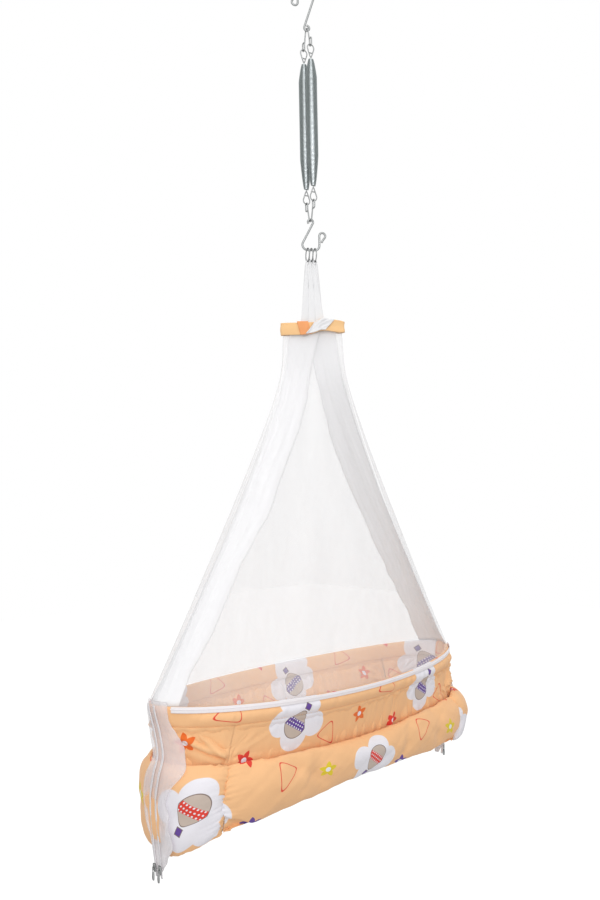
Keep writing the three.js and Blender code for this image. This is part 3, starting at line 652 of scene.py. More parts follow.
def path_object(name, paths, closed, out=None):
    """A mesh of bare edges along one or more paths, which the geometry node trees follow."""
    vertices, edges = [], []
    for path, shut in zip(paths, closed):
        start = len(vertices)
        vertices.extend(path.tolist())
        edges.extend((start + i, start + i + 1) for i in range(len(path) - 1))
        if shut:
            edges.append((start + len(path) - 1, start))
    mesh = bpy.data.meshes.new(name)
    mesh.from_pydata(vertices, edges, [])
    if out is not None:
        facing = mesh.attributes.new("facing", "FLOAT_VECTOR", "POINT")
        facing.data.foreach_set("vector", np.asarray(out, "f").ravel())
    return add_object(name, mesh)


def joined(name, pieces):
    """Several pieces as one, with their materials kept."""
    whole = bmesh.new()
    materials = []
    for piece in pieces:
        start = len(whole.faces)
        whole.from_mesh(piece.data)
        whole.faces.ensure_lookup_table()
        slots = list(piece.data.materials)
        for face in whole.faces[start:]:
            material = slots[face.material_index]
            if material not in materials:
                materials.append(material)
            face.material_index = materials.index(material)
        bpy.data.objects.remove(piece, do_unlink=True)
    mesh = bpy.data.meshes.new(name)
    whole.to_mesh(mesh)
    whole.free()
    for material in materials:
        mesh.materials.append(material)
    return add_object(name, mesh)


def plain(piece):
    """Turns what the modifiers make into the piece's own mesh, and removes them."""
    graph = bpy.context.evaluated_depsgraph_get()
    mesh = bpy.data.meshes.new_from_object(piece.evaluated_get(graph), depsgraph=graph)
    mesh.name = piece.name
    piece.modifiers.clear()
    piece.data = mesh
    return piece


def hold(piece, body, slot, *nodes):
    """Gives a finished piece its body and hides the solids that it stands for; slot is not used."""
    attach(piece, body)
    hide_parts(*nodes)


# Nodes
def feed(tree, made, inputs):
    """Gives a node's inputs their values, or links them to what other nodes give."""
    for key, value in inputs.items():
        if isinstance(value, bpy.types.NodeSocket):
            tree.links.new(value, made.inputs[key])
        else:
            made.inputs[key].default_value = value


def node(tree, kind, inputs=None, **values):
    made = tree.nodes.new(kind)
    for key, value in values.items():
        setattr(made, key, value)
    feed(tree, made, inputs or {})
    return made


def math_node(tree, operation, *values, clamped=False):
    given = dict(enumerate(values))
    return node(tree, "ShaderNodeMath", given, operation=operation, use_clamp=clamped).outputs[0]


def vector_node(tree, operation, *values, output=0):
    return node(tree, "ShaderNodeVectorMath", dict(enumerate(values)), operation=operation).outputs[output]


def noise(tree, place, scale, detail):
    return node(tree, "ShaderNodeTexNoise", {"Vector": place, "Scale": scale, "Detail": detail}).outputs[0]


def color_mix(tree, share, low, high, blend="MIX"):
    given = {0: share, 6: low, 7: high}
    return node(tree, "ShaderNodeMix", given, data_type="RGBA", blend_type=blend).outputs[2]


def group_named(name, kind, inputs, outputs):
    """Turns a function that adds nodes into one that gives their group, filled when it is first asked for.

    Inputs are (name, type, default), outputs (name, type). The function gives the outputs' values in order.
    """
    def wrap(fill):
        def group():
            if name in bpy.data.node_groups:
                return bpy.data.node_groups[name]
            tree = bpy.data.node_groups.new(name, kind)
            for label, socket, default in inputs:
                made = tree.interface.new_socket(label, in_out="INPUT", socket_type=f"NodeSocket{socket}")
                if default is not None:
                    made.default_value = default
            for label, socket in outputs:
                tree.interface.new_socket(label, in_out="OUTPUT", socket_type=f"NodeSocket{socket}")
            start, end = node(tree, "NodeGroupInput"), node(tree, "NodeGroupOutput")
            feed(tree, end, dict(enumerate(fill(tree, start.outputs))))
            return tree
        return group
    return wrap


def shader_group(name, inputs, *outputs):
    """A shader group that reads a place, and any further inputs given as (name, type, default)."""
    listed = [("Place", "Vector", None), *inputs]
    return group_named(name, "ShaderNodeTree", listed, [(output, "Float") for output in outputs])


def geometry_tree(name, *inputs):
    """A geometry tree whose pieces are made real and given their material at its end."""
    def wrap(fill):
        def finished(tree, given):
            tree.is_modifier = True
            whole = node(tree, "GeometryNodeRealizeInstances", {"Geometry": fill(tree, given)})
            smooth = node(tree, "GeometryNodeSetShadeSmooth", {"Geometry": whole.outputs[0]})
            return node(tree, "GeometryNodeSetMaterial", {
                "Geometry": smooth.outputs[0], "Material": given["Material"],
            }).outputs
        listed = [("Geometry", "Geometry", None), *inputs, ("Material", "Material", None)]
        return group_named(name, "GeometryNodeTree", listed, [("Geometry", "Geometry")])(finished)
    return wrap


def swept(tree, path, thickness, sides):
    """Round wire along the edges of a path."""
    radius = math_node(tree, "MULTIPLY", thickness, 0.5)
    circle = node(tree, "GeometryNodeCurvePrimitiveCircle", {"Resolution": sides, "Radius": radius})
    curve = node(tree, "GeometryNodeMeshToCurve", {"Mesh": path})
    return node(tree, "GeometryNodeCurveToMesh", {
        "Curve": curve.outputs[0], "Profile Curve": circle.outputs[0], "Fill Caps": True,
    }).outputs[0]


@geometry_tree("Wire along a path", ("Thickness", "Float", 0.002), ("Sides", "Int", 12))
def wire_tree(tree, given):
    """Round wire along the edges of a mesh."""
    return swept(tree, given["Geometry"], given["Thickness"], given["Sides"])


@geometry_tree("Row along a path", ("Pitch", "Float", 0.002), ("Size", "Vector", (0.001, 0.001, 0.001)))
def bead_tree(tree, given):
    """Small rounded pieces along the edges of a mesh, such as zip teeth or stitches."""
    path = node(tree, "GeometryNodeMeshToCurve", {"Mesh": given["Geometry"]})
    spaced = {"Curve": path.outputs[0], "Length": given["Pitch"]}
    row = node(tree, "GeometryNodeResampleCurve", spaced, mode="LENGTH")
    bead = node(tree, "GeometryNodeMeshUVSphere", {"Segments": 8, "Rings": 4, "Radius": 0.5})
    sized = node(tree, "GeometryNodeTransform", {"Geometry": bead.outputs["Mesh"], "Scale": given["Size"]})
    tangent = node(tree, "GeometryNodeInputTangent")
    facing = node(tree, "GeometryNodeInputNamedAttribute", {"Name": "facing"}, data_type="FLOAT_VECTOR")
    along = node(tree, "FunctionNodeAlignRotationToVector", {"Vector": tangent.outputs[0]}, axis="X")
    turned = node(tree, "FunctionNodeAlignRotationToVector", {
        "Rotation": along.outputs[0], "Vector": facing.outputs[0],
    }, axis="Z", pivot_axis="X")
    return node(tree, "GeometryNodeInstanceOnPoints", {
        "Points": row.outputs[0], "Instance": sized.outputs[0], "Rotation": turned.outputs[0],
    }).outputs[0]


@geometry_tree(
    "Close-wound spring", ("Curls", "Int", 100), ("Steps", "Int", 20), ("Length", "Float", SPRING_LENGTH),
    ("Thickness", "Float", 0.002), ("Width", "Float", SPRING_WIDTH), ("Tip Width", "Float", SPRING_TIP_WIDTH),
    ("Top Cone", "Float", TOP_CONE), ("Bottom Cone", "Float", BOTTOM_CONE), ("Place", "Vector", (0, 0, 0)),
)
def spring_tree(tree, given):
    """A close-wound extension spring whose ends are drawn in."""
    thickness = given["Thickness"]
    points = math_node(tree, "MULTIPLY", given["Curls"], given["Steps"])
    line = node(tree, "GeometryNodeMeshLine", {"Count": math_node(tree, "ADD", points, 1)})
    index = node(tree, "GeometryNodeInputIndex").outputs[0]
    share = math_node(tree, "DIVIDE", index, points)
    run = math_node(tree, "SUBTRACT", given["Length"], thickness)
    depth = math_node(tree, "MULTIPLY_ADD", share, run, math_node(tree, "MULTIPLY", thickness, 0.5))
    left = math_node(tree, "SUBTRACT", given["Length"], depth)

    def opening(distance, cone):
        return math_node(tree, "POWER", math_node(tree, "DIVIDE", distance, cone, clamped=True), CONE_POWER)

    def middle_radius(width):
        return math_node(tree, "MULTIPLY", math_node(tree, "SUBTRACT", width, thickness), 0.5)

    cones = opening(depth, given["Top Cone"]), opening(left, given["Bottom Cone"])
    opened = math_node(tree, "MINIMUM", *cones)
    full, tip = middle_radius(given["Width"]), middle_radius(given["Tip Width"])
    radius = math_node(tree, "MULTIPLY_ADD", math_node(tree, "SUBTRACT", full, tip), opened, tip)
    turn = math_node(tree, "MULTIPLY", math_node(tree, "DIVIDE", index, given["Steps"]), 2 * math.pi)
    c, s = math_node(tree, "COSINE", turn), math_node(tree, "SINE", turn)
    coil = node(tree, "ShaderNodeCombineXYZ", {
        0: math_node(tree, "MULTIPLY", radius, c), 1: math_node(tree, "MULTIPLY", radius, s),
        2: math_node(tree, "MULTIPLY", depth, -1.0),
    })
    # The coil's outward way, stored as round for the spring material's painted highlight and painted shade.
    marked = node(tree, "GeometryNodeStoreNamedAttribute", {
        "Geometry": line.outputs[0], "Name": "round",
        "Value": node(tree, "ShaderNodeCombineXYZ", {0: c, 1: s}).outputs[0],
    }, data_type="FLOAT_VECTOR", domain="POINT")
    wound = node(tree, "GeometryNodeSetPosition", {
        "Geometry": marked.outputs[0], "Position": vector_node(tree, "ADD", coil.outputs[0], given["Place"]),
    })
    return swept(tree, wound.outputs[0], thickness, 7)


def grow(piece, tree, **inputs):
    """Runs a geometry node tree on a piece, with its inputs given by name, and keeps the result."""
    modifier = piece.modifiers.new(tree.name, "NODES")
    modifier.node_group = tree
    for item in tree.interface.items_tree:
        key = item.name.lower().replace(" ", "_")
        if item.item_type == "SOCKET" and item.in_out == "INPUT" and key in inputs:
            modifier[item.identifier] = inputs[key]
    return plain(piece)


def wire_piece(name, paths, closed, thickness, material, sides=12):
    path = path_object(name, paths, closed)
    piece = grow(path, wire_tree(), thickness=thickness, sides=sides, material=material)
    face_outwards(piece.data)
    return piece


def bead_row(name, path, out, pitch, size, material, closed=False):
    row = path_object(name, [path], [closed], out)
    return grow(row, bead_tree(), pitch=pitch, size=size, material=material)


# Shader groups that several materials share
@shader_group("Woven threads", [("Thread", "Float", 0.0006), ("Creases", "Float", 0.5)], "Height", "Shade")
def weave_group(tree, given):
    """Crossed threads and uneven yarn: a height for bump and a shade that varies a little."""
    parts = node(tree, "ShaderNodeSeparateXYZ", {0: given["Place"]})
    rate = math_node(tree, "DIVIDE", math.pi, given["Thread"])
    turns = [math_node(tree, "MULTIPLY", parts.outputs[k], rate) for k in range(2)]
    warp, weft = (math_node(tree, "SINE", turn) for turn in turns)
    slubs = noise(tree, given["Place"], 900.0, 2.0)
    folded = math_node(tree, "MULTIPLY", noise(tree, given["Place"], 45.0, 4.0), given["Creases"])
    height = math_node(tree, "MULTIPLY_ADD", math_node(tree, "MULTIPLY", warp, weft), 0.04, folded)
    height = math_node(tree, "MULTIPLY_ADD", slubs, 0.05, height)
    return height, math_node(tree, "MULTIPLY_ADD", slubs, 0.1, 0.95)


@shader_group("Drawn metal", [("Roughness", "Float", 0.3)], "Roughness", "Shade", "Height")
def metal_group(tree, given):
    """Drawn wire: faint lines, and spots that are a little duller."""
    broad = noise(tree, given["Place"], 120.0, 3.0)
    rough = math_node(tree, "MULTIPLY_ADD", broad, 0.24, given["Roughness"])
    rough = math_node(tree, "SUBTRACT", rough, 0.12, clamped=True)
    return rough, math_node(tree, "MULTIPLY_ADD", broad, 0.3, 0.85), noise(tree, given["Place"], 1500.0, 3.0)


# The nursery print: where each motif lies in the cloth's repeat, in metres, its turn, and its colour
PRINT_REPEAT = (0.34, 0.25, 1.0)
PRINT_EDGE = 0.0005
PRINT_SHIFT = -0.095
PRINT_LIFT = 0.025
BALLOONS = [
    (0.075, 0.06, 35, "red"),
    (0.245, 0.185, -150, "purple"),
]
STARS = [
    (0.165, 0.03, 12, "purple"),
    (0.15, 0.135, 40, "red"),
    (0.3, 0.075, 25, "yellow"),
    (0.05, 0.17, 5, "orange"),
    (0.32, 0.235, 60, "red"),
]
KITES = [(0.215, 0.095, 20), (0.11, 0.215, 75), (0.315, 0.15, -35)]
CLOUD_PUFFS = [
    (-0.026, -0.006, 0.017),
    (-0.006, 0.018, 0.02),
    (0.022, 0.012, 0.018),
    (0.03, -0.014, 0.015),
    (0.002, -0.02, 0.021),
    (0.0, 0.0, 0.02),
]
CLOUD_SIZE = 1.35
CLOUD_EDGE = 0.0012
STAR_RADIUS = 0.0165
STAR_NOTCH = 0.48
STAR_CENTRE = 0.0046
KITE_REACH = 0.0135
KITE_ROUNDING = 0.014
KITE_LINE = 0.0013
BALLOON_RADIUS = 0.023
BALLOON_LIFT = 0.006
BALLOON_TAPER = 32.0
BALLOON_SQUASH = 0.92
BALLOON_BAND = 0.0075
DOT_PITCH = 0.0058
DOT_RADIUS = 0.0014
BASKET_HALF = 0.0052
BASKET_DROP = 0.0275
OUTLINE = 0.0006
OUTLINE_COLOUR = (0.2, 0.14, 0.12, 1)
PRINT_COLOURS = ("ground", "cloud", "toy", "red", "purple", "orange", "yellow")


def inside(tree, distance, edge=PRINT_EDGE):
    """1 where a signed distance is below zero, with a soft edge."""
    return math_node(tree, "MULTIPLY_ADD", distance, -1.0 / edge, 0.5, clamped=True)


def from_origin(tree, place):
    return vector_node(tree, "LENGTH", place, output=1)


@shader_group("Star", [], "Star", "Centre")
def star_group(tree, given):
    """A five-pointed star with a round white centre, at the origin."""
    parts = node(tree, "ShaderNodeSeparateXYZ", {0: given["Place"]})
    angle = math_node(tree, "ARCTAN2", parts.outputs[1], parts.outputs[0])
    fifth = math_node(tree, "PINGPONG", math_node(tree, "MULTIPLY", angle, 5 / (2 * math.pi)), 0.5)
    notch = STAR_RADIUS * STAR_NOTCH
    reach = math_node(tree, "MULTIPLY_ADD", fifth, 2 * (STAR_RADIUS - notch), notch)
    away = from_origin(tree, given["Place"])
    return [inside(tree, math_node(tree, "SUBTRACT", away, edge)) for edge in (reach, STAR_CENTRE)]


@shader_group("Kite outline", [], "Line")
def kite_group(tree, given):
    """The thin outline of a rounded three-cornered kite, at the origin."""
    sides = []
    for turn in (90, 205, 335):
        way = (math.cos(math.radians(turn)), math.sin(math.radians(turn)), 0)
        sides.append(vector_node(tree, "DOT_PRODUCT", given["Place"], way, output=1))
    widest = sides[0]
    for side in sides[1:]:
        widest = math_node(tree, "SMOOTH_MAX", widest, side, KITE_ROUNDING)
    off = math_node(tree, "ABSOLUTE", math_node(tree, "SUBTRACT", widest, KITE_REACH))
    return [inside(tree, math_node(tree, "SUBTRACT", off, KITE_LINE / 2))]


@shader_group("Balloon on a cloud", [], "Cloud", "Balloon", "Band", "Dots", "Basket", "Line")
def balloon_group(tree, given):
    """A cloud with a dotted balloon and its basket on it, at the origin."""
    place = given["Place"]
    cloud = None
    for x, y, radius in CLOUD_PUFFS:
        away = vector_node(tree, "DISTANCE", place, (x * CLOUD_SIZE, y * CLOUD_SIZE, 0), output=1)
        puff = math_node(tree, "SUBTRACT", away, radius * CLOUD_SIZE)
        cloud = puff if cloud is None else math_node(tree, "MINIMUM", cloud, puff)
    middle = vector_node(tree, "SUBTRACT", place, (0, BALLOON_LIFT, 0))
    across, up, _ = node(tree, "ShaderNodeSeparateXYZ", {0: middle}).outputs
    low = math_node(tree, "MAXIMUM", math_node(tree, "MULTIPLY", up, -1.0), 0.0)
    wide = math_node(tree, "MULTIPLY_ADD", low, BALLOON_TAPER, 1.0)
    drawn = node(tree, "ShaderNodeCombineXYZ", {
        0: math_node(tree, "MULTIPLY", across, wide), 1: math_node(tree, "MULTIPLY", up, BALLOON_SQUASH),
    }).outputs[0]
    body = math_node(tree, "SUBTRACT", from_origin(tree, drawn), BALLOON_RADIUS)
    belt = math_node(tree, "SUBTRACT", math_node(tree, "ABSOLUTE", up), BALLOON_BAND)
    band = inside(tree, math_node(tree, "MAXIMUM", belt, body))
    grid = vector_node(tree, "WRAP", middle, (DOT_PITCH / 2,) * 3, (-DOT_PITCH / 2,) * 3)
    flat = vector_node(tree, "MULTIPLY", grid, (1, 1, 0))
    dot = inside(tree, math_node(tree, "SUBTRACT", from_origin(tree, flat), DOT_RADIUS))
    hung = vector_node(tree, "ABSOLUTE", vector_node(tree, "ADD", place, (0, BASKET_DROP, 0)))
    corner = node(tree, "ShaderNodeSeparateXYZ", {0: hung}).outputs
    basket = math_node(tree, "SUBTRACT", math_node(tree, "MAXIMUM", corner[0], corner[1]), BASKET_HALF)
    nearest = math_node(tree, "MINIMUM", *(math_node(tree, "ABSOLUTE", shape) for shape in (body, basket)))
    return (
        inside(tree, cloud, CLOUD_EDGE), inside(tree, body), band, math_node(tree, "MULTIPLY", dot, band),
        inside(tree, basket), inside(tree, math_node(tree, "SUBTRACT", nearest, OUTLINE)),
    )


@group_named("Nursery print", "ShaderNodeTree", [
    ("Place", "Vector", None), *((label.title(), "Color", (1, 1, 1, 1)) for label in PRINT_COLOURS),
], [("Color", "Color")])
def print_group(tree, given):
    """The whole printed cotton: its motifs, repeated over the cloth."""
    half = tuple(side / 2 for side in PRINT_REPEAT)
    back = tuple(-side for side in half)

    def motif(group, x, y, turn):
        moved = vector_node(tree, "SUBTRACT", given["Place"], (x, y, 0))
        turned = node(tree, "ShaderNodeVectorRotate", {
            "Vector": vector_node(tree, "WRAP", moved, half, back), "Angle": math.radians(turn),
        }, rotation_type="Z_AXIS")
        return node(tree, "ShaderNodeGroup", {0: turned.outputs[0]}, node_tree=group).outputs

    layers = []
    for x, y, turn, accent in BALLOONS:
        masks = motif(balloon_group(), x, y, turn)
        colours = [given[label] for label in ("Cloud", "Toy", accent.title(), "Cloud", "Purple")]
        layers += zip(masks, [*colours, OUTLINE_COLOUR])
    for x, y, turn, accent in STARS:
        layers += zip(motif(star_group(), x, y, turn), (given[accent.title()], given["Cloud"]))
    for x, y, turn in KITES:
        layers += zip(motif(kite_group(), x, y, turn), (given["Red"],))
    colour = given["Ground"]
    for mask, over in layers:
        colour = color_mix(tree, mask, colour, over)
    return [colour]


# Materials
MESH_PITCH = 0.0016
METAL_ROUGHNESS = 0.42


def new_material(name):
    """A material, and its tree and shader if it is new."""
    if name in bpy.data.materials:
        return bpy.data.materials[name], None, None
    material = bpy.data.materials.new(name)
    material.use_nodes = True
    tree = material.node_tree
    return material, tree, tree.nodes["Principled BSDF"]


def rgba(colour):
    return (*colour, 1.0)


def bumped(tree, height, strength, distance):
    given = {"Height": height, "Strength": strength, "Distance": distance}
    return node(tree, "ShaderNodeBump", given).outputs[0]


def cloth_place(tree):
    return node(tree, "ShaderNodeUVMap", uv_map="cloth").outputs[0]


def cloth_finish(tree, shader, colour, thread, creases, relief, roughness):
    """Weave, soft creases and a little sheen over a colour."""
    weave = node(tree, "ShaderNodeGroup", {
        "Place": cloth_place(tree), "Thread": thread, "Creases": creases,
    }, node_tree=weave_group())
    feed(tree, shader, {
        "Base Color": color_mix(tree, 1.0, colour, weave.outputs["Shade"], "MULTIPLY"),
        "Normal": bumped(tree, weave.outputs["Height"], 1.0, relief),
        "Roughness": roughness, "Sheen Weight": 0.12, "Sheen Roughness": 0.5,
    })


def printed_cotton():
    material, tree, shader = new_material("printed_cotton")
    if tree is not None:
        cloth = settings("cradle_cloth")
        given = {label.title(): rgba(getattr(cloth, label)) for label in PRINT_COLOURS}
        given["Place"] = cloth_place(tree)
        motifs = node(tree, "ShaderNodeGroup", given, node_tree=print_group())
        cloth_finish(tree, shader, motifs.outputs[0], 0.0006, 1.0, 0.0009, 0.85)
    return material


def plain_cotton(name, colour, creases=0.6):
    material, tree, shader = new_material(name)
    if tree is not None:
        cloth_finish(tree, shader, rgba(colour), 0.0007, creases, 0.0008, 0.88)
    return material


def sheer_cloth(name, colour, cover, bunched=None):
    """Net whose threads cover a share of it; bunched tells where along it it thickens, and to what share."""
    material, tree, shader = new_material(name)
    if tree is None:
        return material
    cloth_finish(tree, shader, rgba(colour), 0.0012, 0.4, 0.0006, 0.9)
    place = cloth_place(tree)
    parts = node(tree, "ShaderNodeSeparateXYZ", {0: place})
    rate = 2 * math.pi / MESH_PITCH
    turns = [math_node(tree, "MULTIPLY", parts.outputs[k], rate) for k in range(2)]
    warp, weft = (math_node(tree, "COSINE", turn) for turn in turns)
    threads = math_node(tree, "MAXIMUM", warp, weft)
    uneven = noise(tree, vector_node(tree, "MULTIPLY", place, (1.0, 0.12, 1.0)), 28.0, 2.0)
    share = math_node(tree, "MULTIPLY_ADD", threads, 0.25 * cover, cover * 0.75)
    drift = math_node(tree, "MULTIPLY_ADD", uneven, 0.4 * cover, -0.2 * cover)
    share = math_node(tree, "ADD", share, drift, clamped=True)
    if bunched:
        start, stop, dense = bunched
        closing = node(tree, "ShaderNodeMapRange", {
            "Value": parts.outputs[1], "From Min": start, "From Max": stop, "To Min": 0.0, "To Max": dense,
        })
        share = math_node(tree, "MAXIMUM", share, closing.outputs[0])
    passed = node(tree, "ShaderNodeLightPath").outputs["Is Shadow Ray"]
    lets_light = math_node(tree, "MULTIPLY_ADD", passed, -0.8, 1.0)
    feed(tree, shader, {"Alpha": math_node(tree, "MULTIPLY", share, lets_light)})
    return material


def metal(name, colour, edge, turn, rounded=None):
    """Metal with painted shade: its colour darkens to edge as its surface turns away from the eye, over the given
    range of turn; rounded names the attribute with the way it faces, whose painted highlight runs down a spring's
    middle.
    """
    material, tree, shader = new_material(name)
    if tree is None:
        return material
    drawn = node(tree, "ShaderNodeGroup", {
        "Place": node(tree, "ShaderNodeTexCoord").outputs["Object"], "Roughness": METAL_ROUGHNESS,
    }, node_tree=metal_group())
    facing = node(tree, "ShaderNodeLayerWeight", {"Blend": 0.5})
    if rounded:
        way = node(tree, "ShaderNodeAttribute", attribute_name=rounded)
        world = node(tree, "ShaderNodeVectorTransform", {0: way.outputs["Vector"]}, vector_type="NORMAL",
                     convert_from="OBJECT", convert_to="WORLD")
        feed(tree, facing, {"Normal": world.outputs[0]})
    # Painted shade, and on the springs a painted highlight: the colour darkens towards edge as the surface turns
    # away from the eye.
    turned = node(tree, "ShaderNodeMapRange", {
        "Value": facing.outputs["Facing"], "From Min": turn[0], "From Max": turn[1],
    }, interpolation_type="SMOOTHSTEP")
    painted_facing_shade = color_mix(tree, turned.outputs[0], rgba(colour), rgba(edge))
    feed(tree, shader, {
        "Base Color": color_mix(tree, 1.0, painted_facing_shade, drawn.outputs["Shade"], "MULTIPLY"),
        "Roughness": drawn.outputs["Roughness"], "Normal": bumped(tree, drawn.outputs["Height"], 0.1, 0.0001),
        "Metallic": 1.0,
    })
    return material


# Hooks, links, rings, eyes, sliders and pull tabs: their steel colour with painted shade, darkening to near black
# where the wire turns away from the eye.
def steel():
    return metal("bright_steel", settings("cradle_wire").steel, (0.07, 0.07, 0.07), (0.2, 1.0))


# The springs: a painted highlight in the bright colour down their middle, fading to the darker plated colour
# (0.27, 0.3, 0.3) at their sides as painted shade.
def spring_steel():
    return metal("plated_wire", settings("cradle_wire").spring_steel, (0.27, 0.3, 0.3), (0.04, 0.19), "round")


def white_cotton():
    return plain_cotton("white_sheeting", settings("cradle_cloth").white)


def zip_tape_cloth():
    return plain_cotton("zip_tape", settings("cradle_zips").tape, 0.2)


def hardboard():
    """Pressed brown board with flecks."""
    material, tree, shader = new_material("hardboard")
    if tree is None:
        return material
    flecks = noise(tree, node(tree, "ShaderNodeTexCoord").outputs["Object"], 600.0, 6.0)
    ramp = node(tree, "ShaderNodeValToRGB", {0: flecks})
    browns = (0.3, (0.33, 0.19, 0.09)), (0.7, (0.62, 0.42, 0.23))
    for stop, (position, colour) in zip(ramp.color_ramp.elements, browns):
        stop.position, stop.color = position, rgba(colour)
    feed(tree, shader, {
        "Base Color": ramp.outputs[0], "Normal": bumped(tree, flecks, 0.5, 0.0003), "Roughness": 0.8,
    })
    return material


# Chain of hooks, links, eyes, springs and rings
HOLD = (LINK_WIRE + EYE_WIRE) / 2 + SEAT_GAP
UPPER_BEND = -UPPER_HOOK_REACH
UPPER_CROWN = UPPER_BEND - V_EYE_DROP - V_EYE_HALF_STRAIGHT - V_EYE_RADIUS + HOLD
SPRING_TOP = UPPER_CROWN - EYE_LENGTH - STEM_GAP
SPRING_BOTTOM = SPRING_TOP - SPRING_LENGTH
LOWER_CROWN = SPRING_BOTTOM - STEM_GAP - EYE_LENGTH
LOWER_BEND = LOWER_CROWN + HOLD - V_EYE_RADIUS - V_EYE_HALF_STRAIGHT - V_EYE_DROP
WIRE_STEP = 0.0006
EASE_LOSS = 0.0002
CURL_END = -60
SPRINGS = {"right": -1, "left": 1}
RING_NAMES = {"left": -1, "middle": 0, "right": 1}


def hook_path(height, eye_start):
    """An S hook's middle line, with its small eye's crown at height 0 and its wide cup below."""
    cup = -height + HOOK_CORNER_RADIUS
    side = HOOK_FLAT_HALF + HOOK_CORNER_RADIUS
    curl_up = cup + HOOK_LEG
    return eased(evened(np.vstack([
        arc(0, -HOOK_EYE_RADIUS, HOOK_EYE_RADIUS + EASE_LOSS, eye_start, -30),
        arc(-HOOK_FLAT_HALF, cup, HOOK_CORNER_RADIUS, 160, 270),
        arc(HOOK_FLAT_HALF, cup, HOOK_CORNER_RADIUS, 270, 360),
        arc(side + CURL_RADIUS, curl_up, CURL_RADIUS, 180, CURL_END),
        [[side + CURL_CLOSE, curl_up - CURL_TAIL + CURL_RADIUS * math.sin(math.radians(CURL_END))]],
    ]), WIRE_STEP), 12)


class CRADLE_OT_hooks(bpy.types.Operator):
    """Bends the ceiling hook and the lower hook from round wire"""
    bl_idname = "cradle.hooks"
    bl_label = "S hooks"

    def execute(self, context):
        wire = context.scene.cradle_wire.hook_wire
        upper = UPPER_HOOK_REACH + wire / 2
        for name, height, eye_start, top, way, body, solid in (
            ("ceiling", upper, UPPER_EYE_START, UPPER_BEND, -1, "ceiling_hook", "upper_s_hook"),
            ("hanging", LOWER_HOOK_HEIGHT, LOWER_EYE_START, LOWER_BEND, 1, "hook", "lower_s_hook"),
        ):
            path = hook_path(height, eye_start) * way
            points = yawed(path[:, 0], 0, top + path[:, 1], HOOK_YAW)
            hold(wire_piece(f"{name}_s_hook", [points], [False], wire, steel(), 16), body, "steel", solid)
        return {"FINISHED"}


def v_link_path(bend_z, sign):
    """A V link in the plane of the springs; sign is 1 with its bend at the top and -1 with it below."""
    across = SPRING_SPACING / 2
    high = -V_EYE_DROP + V_EYE_HALF_STRAIGHT
    half = np.vstack([
        arc(0, 0, V_BEND_RADIUS, 90, 0),
        [[across - V_EYE_RADIUS, high]],
        arc(across, -V_EYE_DROP - V_EYE_HALF_STRAIGHT, V_EYE_RADIUS, 180, 360),
        arc(across, high, V_EYE_RADIUS, 0, 130),
    ])
    path = eased(evened(np.vstack([half[:0:-1] * [-1, 1], half]), WIRE_STEP), 5)
    return yawed(0, path[:, 0], bend_z + sign * path[:, 1], SPRING_YAW)


class CRADLE_OT_links(bpy.types.Operator):
    """Bends the two V links that hold the pair of springs"""
    bl_idname = "cradle.links"
    bl_label = "V links"

    def execute(self, context):
        wire = context.scene.cradle_wire.link_wire
        for name, bend, sign, body in (
            ("upper", UPPER_BEND, 1, "spring_pair"),
            ("lower", LOWER_BEND, -1, "lower_link"),
        ):
            piece = wire_piece(f"{name}_link", [v_link_path(bend, sign)], [False], wire, steel())
            hold(piece, body, "steel", f"{name}_v_link")
        return {"FINISHED"}


def coil_radius(depth):
    """The radius of a spring's middle line at a depth below its top."""
    full, tip = (SPRING_WIDTH - SPRING_WIRE) / 2, (SPRING_TIP_WIDTH - SPRING_WIRE) / 2
    opened = min(depth / TOP_CONE, (SPRING_LENGTH - depth) / BOTTOM_CONE, 1) ** CONE_POWER
    return tip + (full - tip) * opened


def spring_eye(name, side, crown, sign, wire):
    """A wire eye with its crossbar, and its stem with a head that fits inside the spring's cone."""
    across = side * SPRING_SPACING / 2

    def placed(points):
        return yawed(points[:, 0], across, crown - sign * points[:, 1], SPRING_YAW)

    leaving = math.asin(EYE_RADIUS / (EYE_LENGTH - EYE_RADIUS))
    loop = np.vstack([
        arc(0, -EYE_RADIUS, EYE_RADIUS, 180 + math.degrees(leaving), -math.degrees(leaving)) * [1, -1],
        [[wire / 2, EYE_LENGTH], [-wire / 2, EYE_LENGTH]],
    ])
    loop = eased(evened(loop, WIRE_STEP, True), 5, True)
    bar_half = (EYE_LENGTH - EYE_BAR_AT) * math.tan(leaving) + EYE_BAR_OVERHANG
    bar = evened(np.array([[-bar_half, EYE_BAR_AT], [bar_half, EYE_BAR_AT]]), WIRE_STEP)
    stem = evened(np.array([[0, EYE_LENGTH - wire / 2], [0, EYE_LENGTH + STEM_LENGTH]]), WIRE_STEP)
    paths = [placed(loop), placed(bar), placed(stem)]
    wires = wire_piece(name + "_wires", paths, [True, False, False], wire, steel())
    rounds = []
    for back, bevel in ((HEAD_LENGTH, 0), (HEAD_LENGTH / 2, 0), (0.0004, 0), (0.0, HEAD_BEVEL)):
        at = STEM_LENGTH - STEM_GAP - back
        radius = coil_radius(at if sign > 0 else SPRING_LENGTH - at) - SPRING_WIRE / 2 - SEAT_GAP - bevel
        oval = plan_point(full_turn(20), radius, radius, 2)
        down = crown - sign * (EYE_LENGTH + STEM_LENGTH - back)
        rounds.append(yawed(oval[:, 0], across + oval[:, 1], down, SPRING_YAW))
    return joined(name, [wires, loft(name + "_head", np.array(rounds), material=steel())])


class CRADLE_OT_eyes(bpy.types.Operator):
    """Bends the wire eyes whose headed stems sit inside the springs' coned ends"""
    bl_idname = "cradle.eyes"
    bl_label = "Spring eyes"

    def execute(self, context):
        wire = context.scene.cradle_wire.eye_wire
        for spring_side, side in SPRINGS.items():
            for end, crown, sign, body in (
                ("top", UPPER_CROWN, 1, "spring_pair"),
                ("bottom", LOWER_CROWN, -1, "lower_link"),
            ):
                piece = spring_eye(f"{spring_side}_{end}_wire_eye", side, crown, sign, wire)
                hold(piece, body, "steel", f"{spring_side}_{end}_eye")
        return {"FINISHED"}


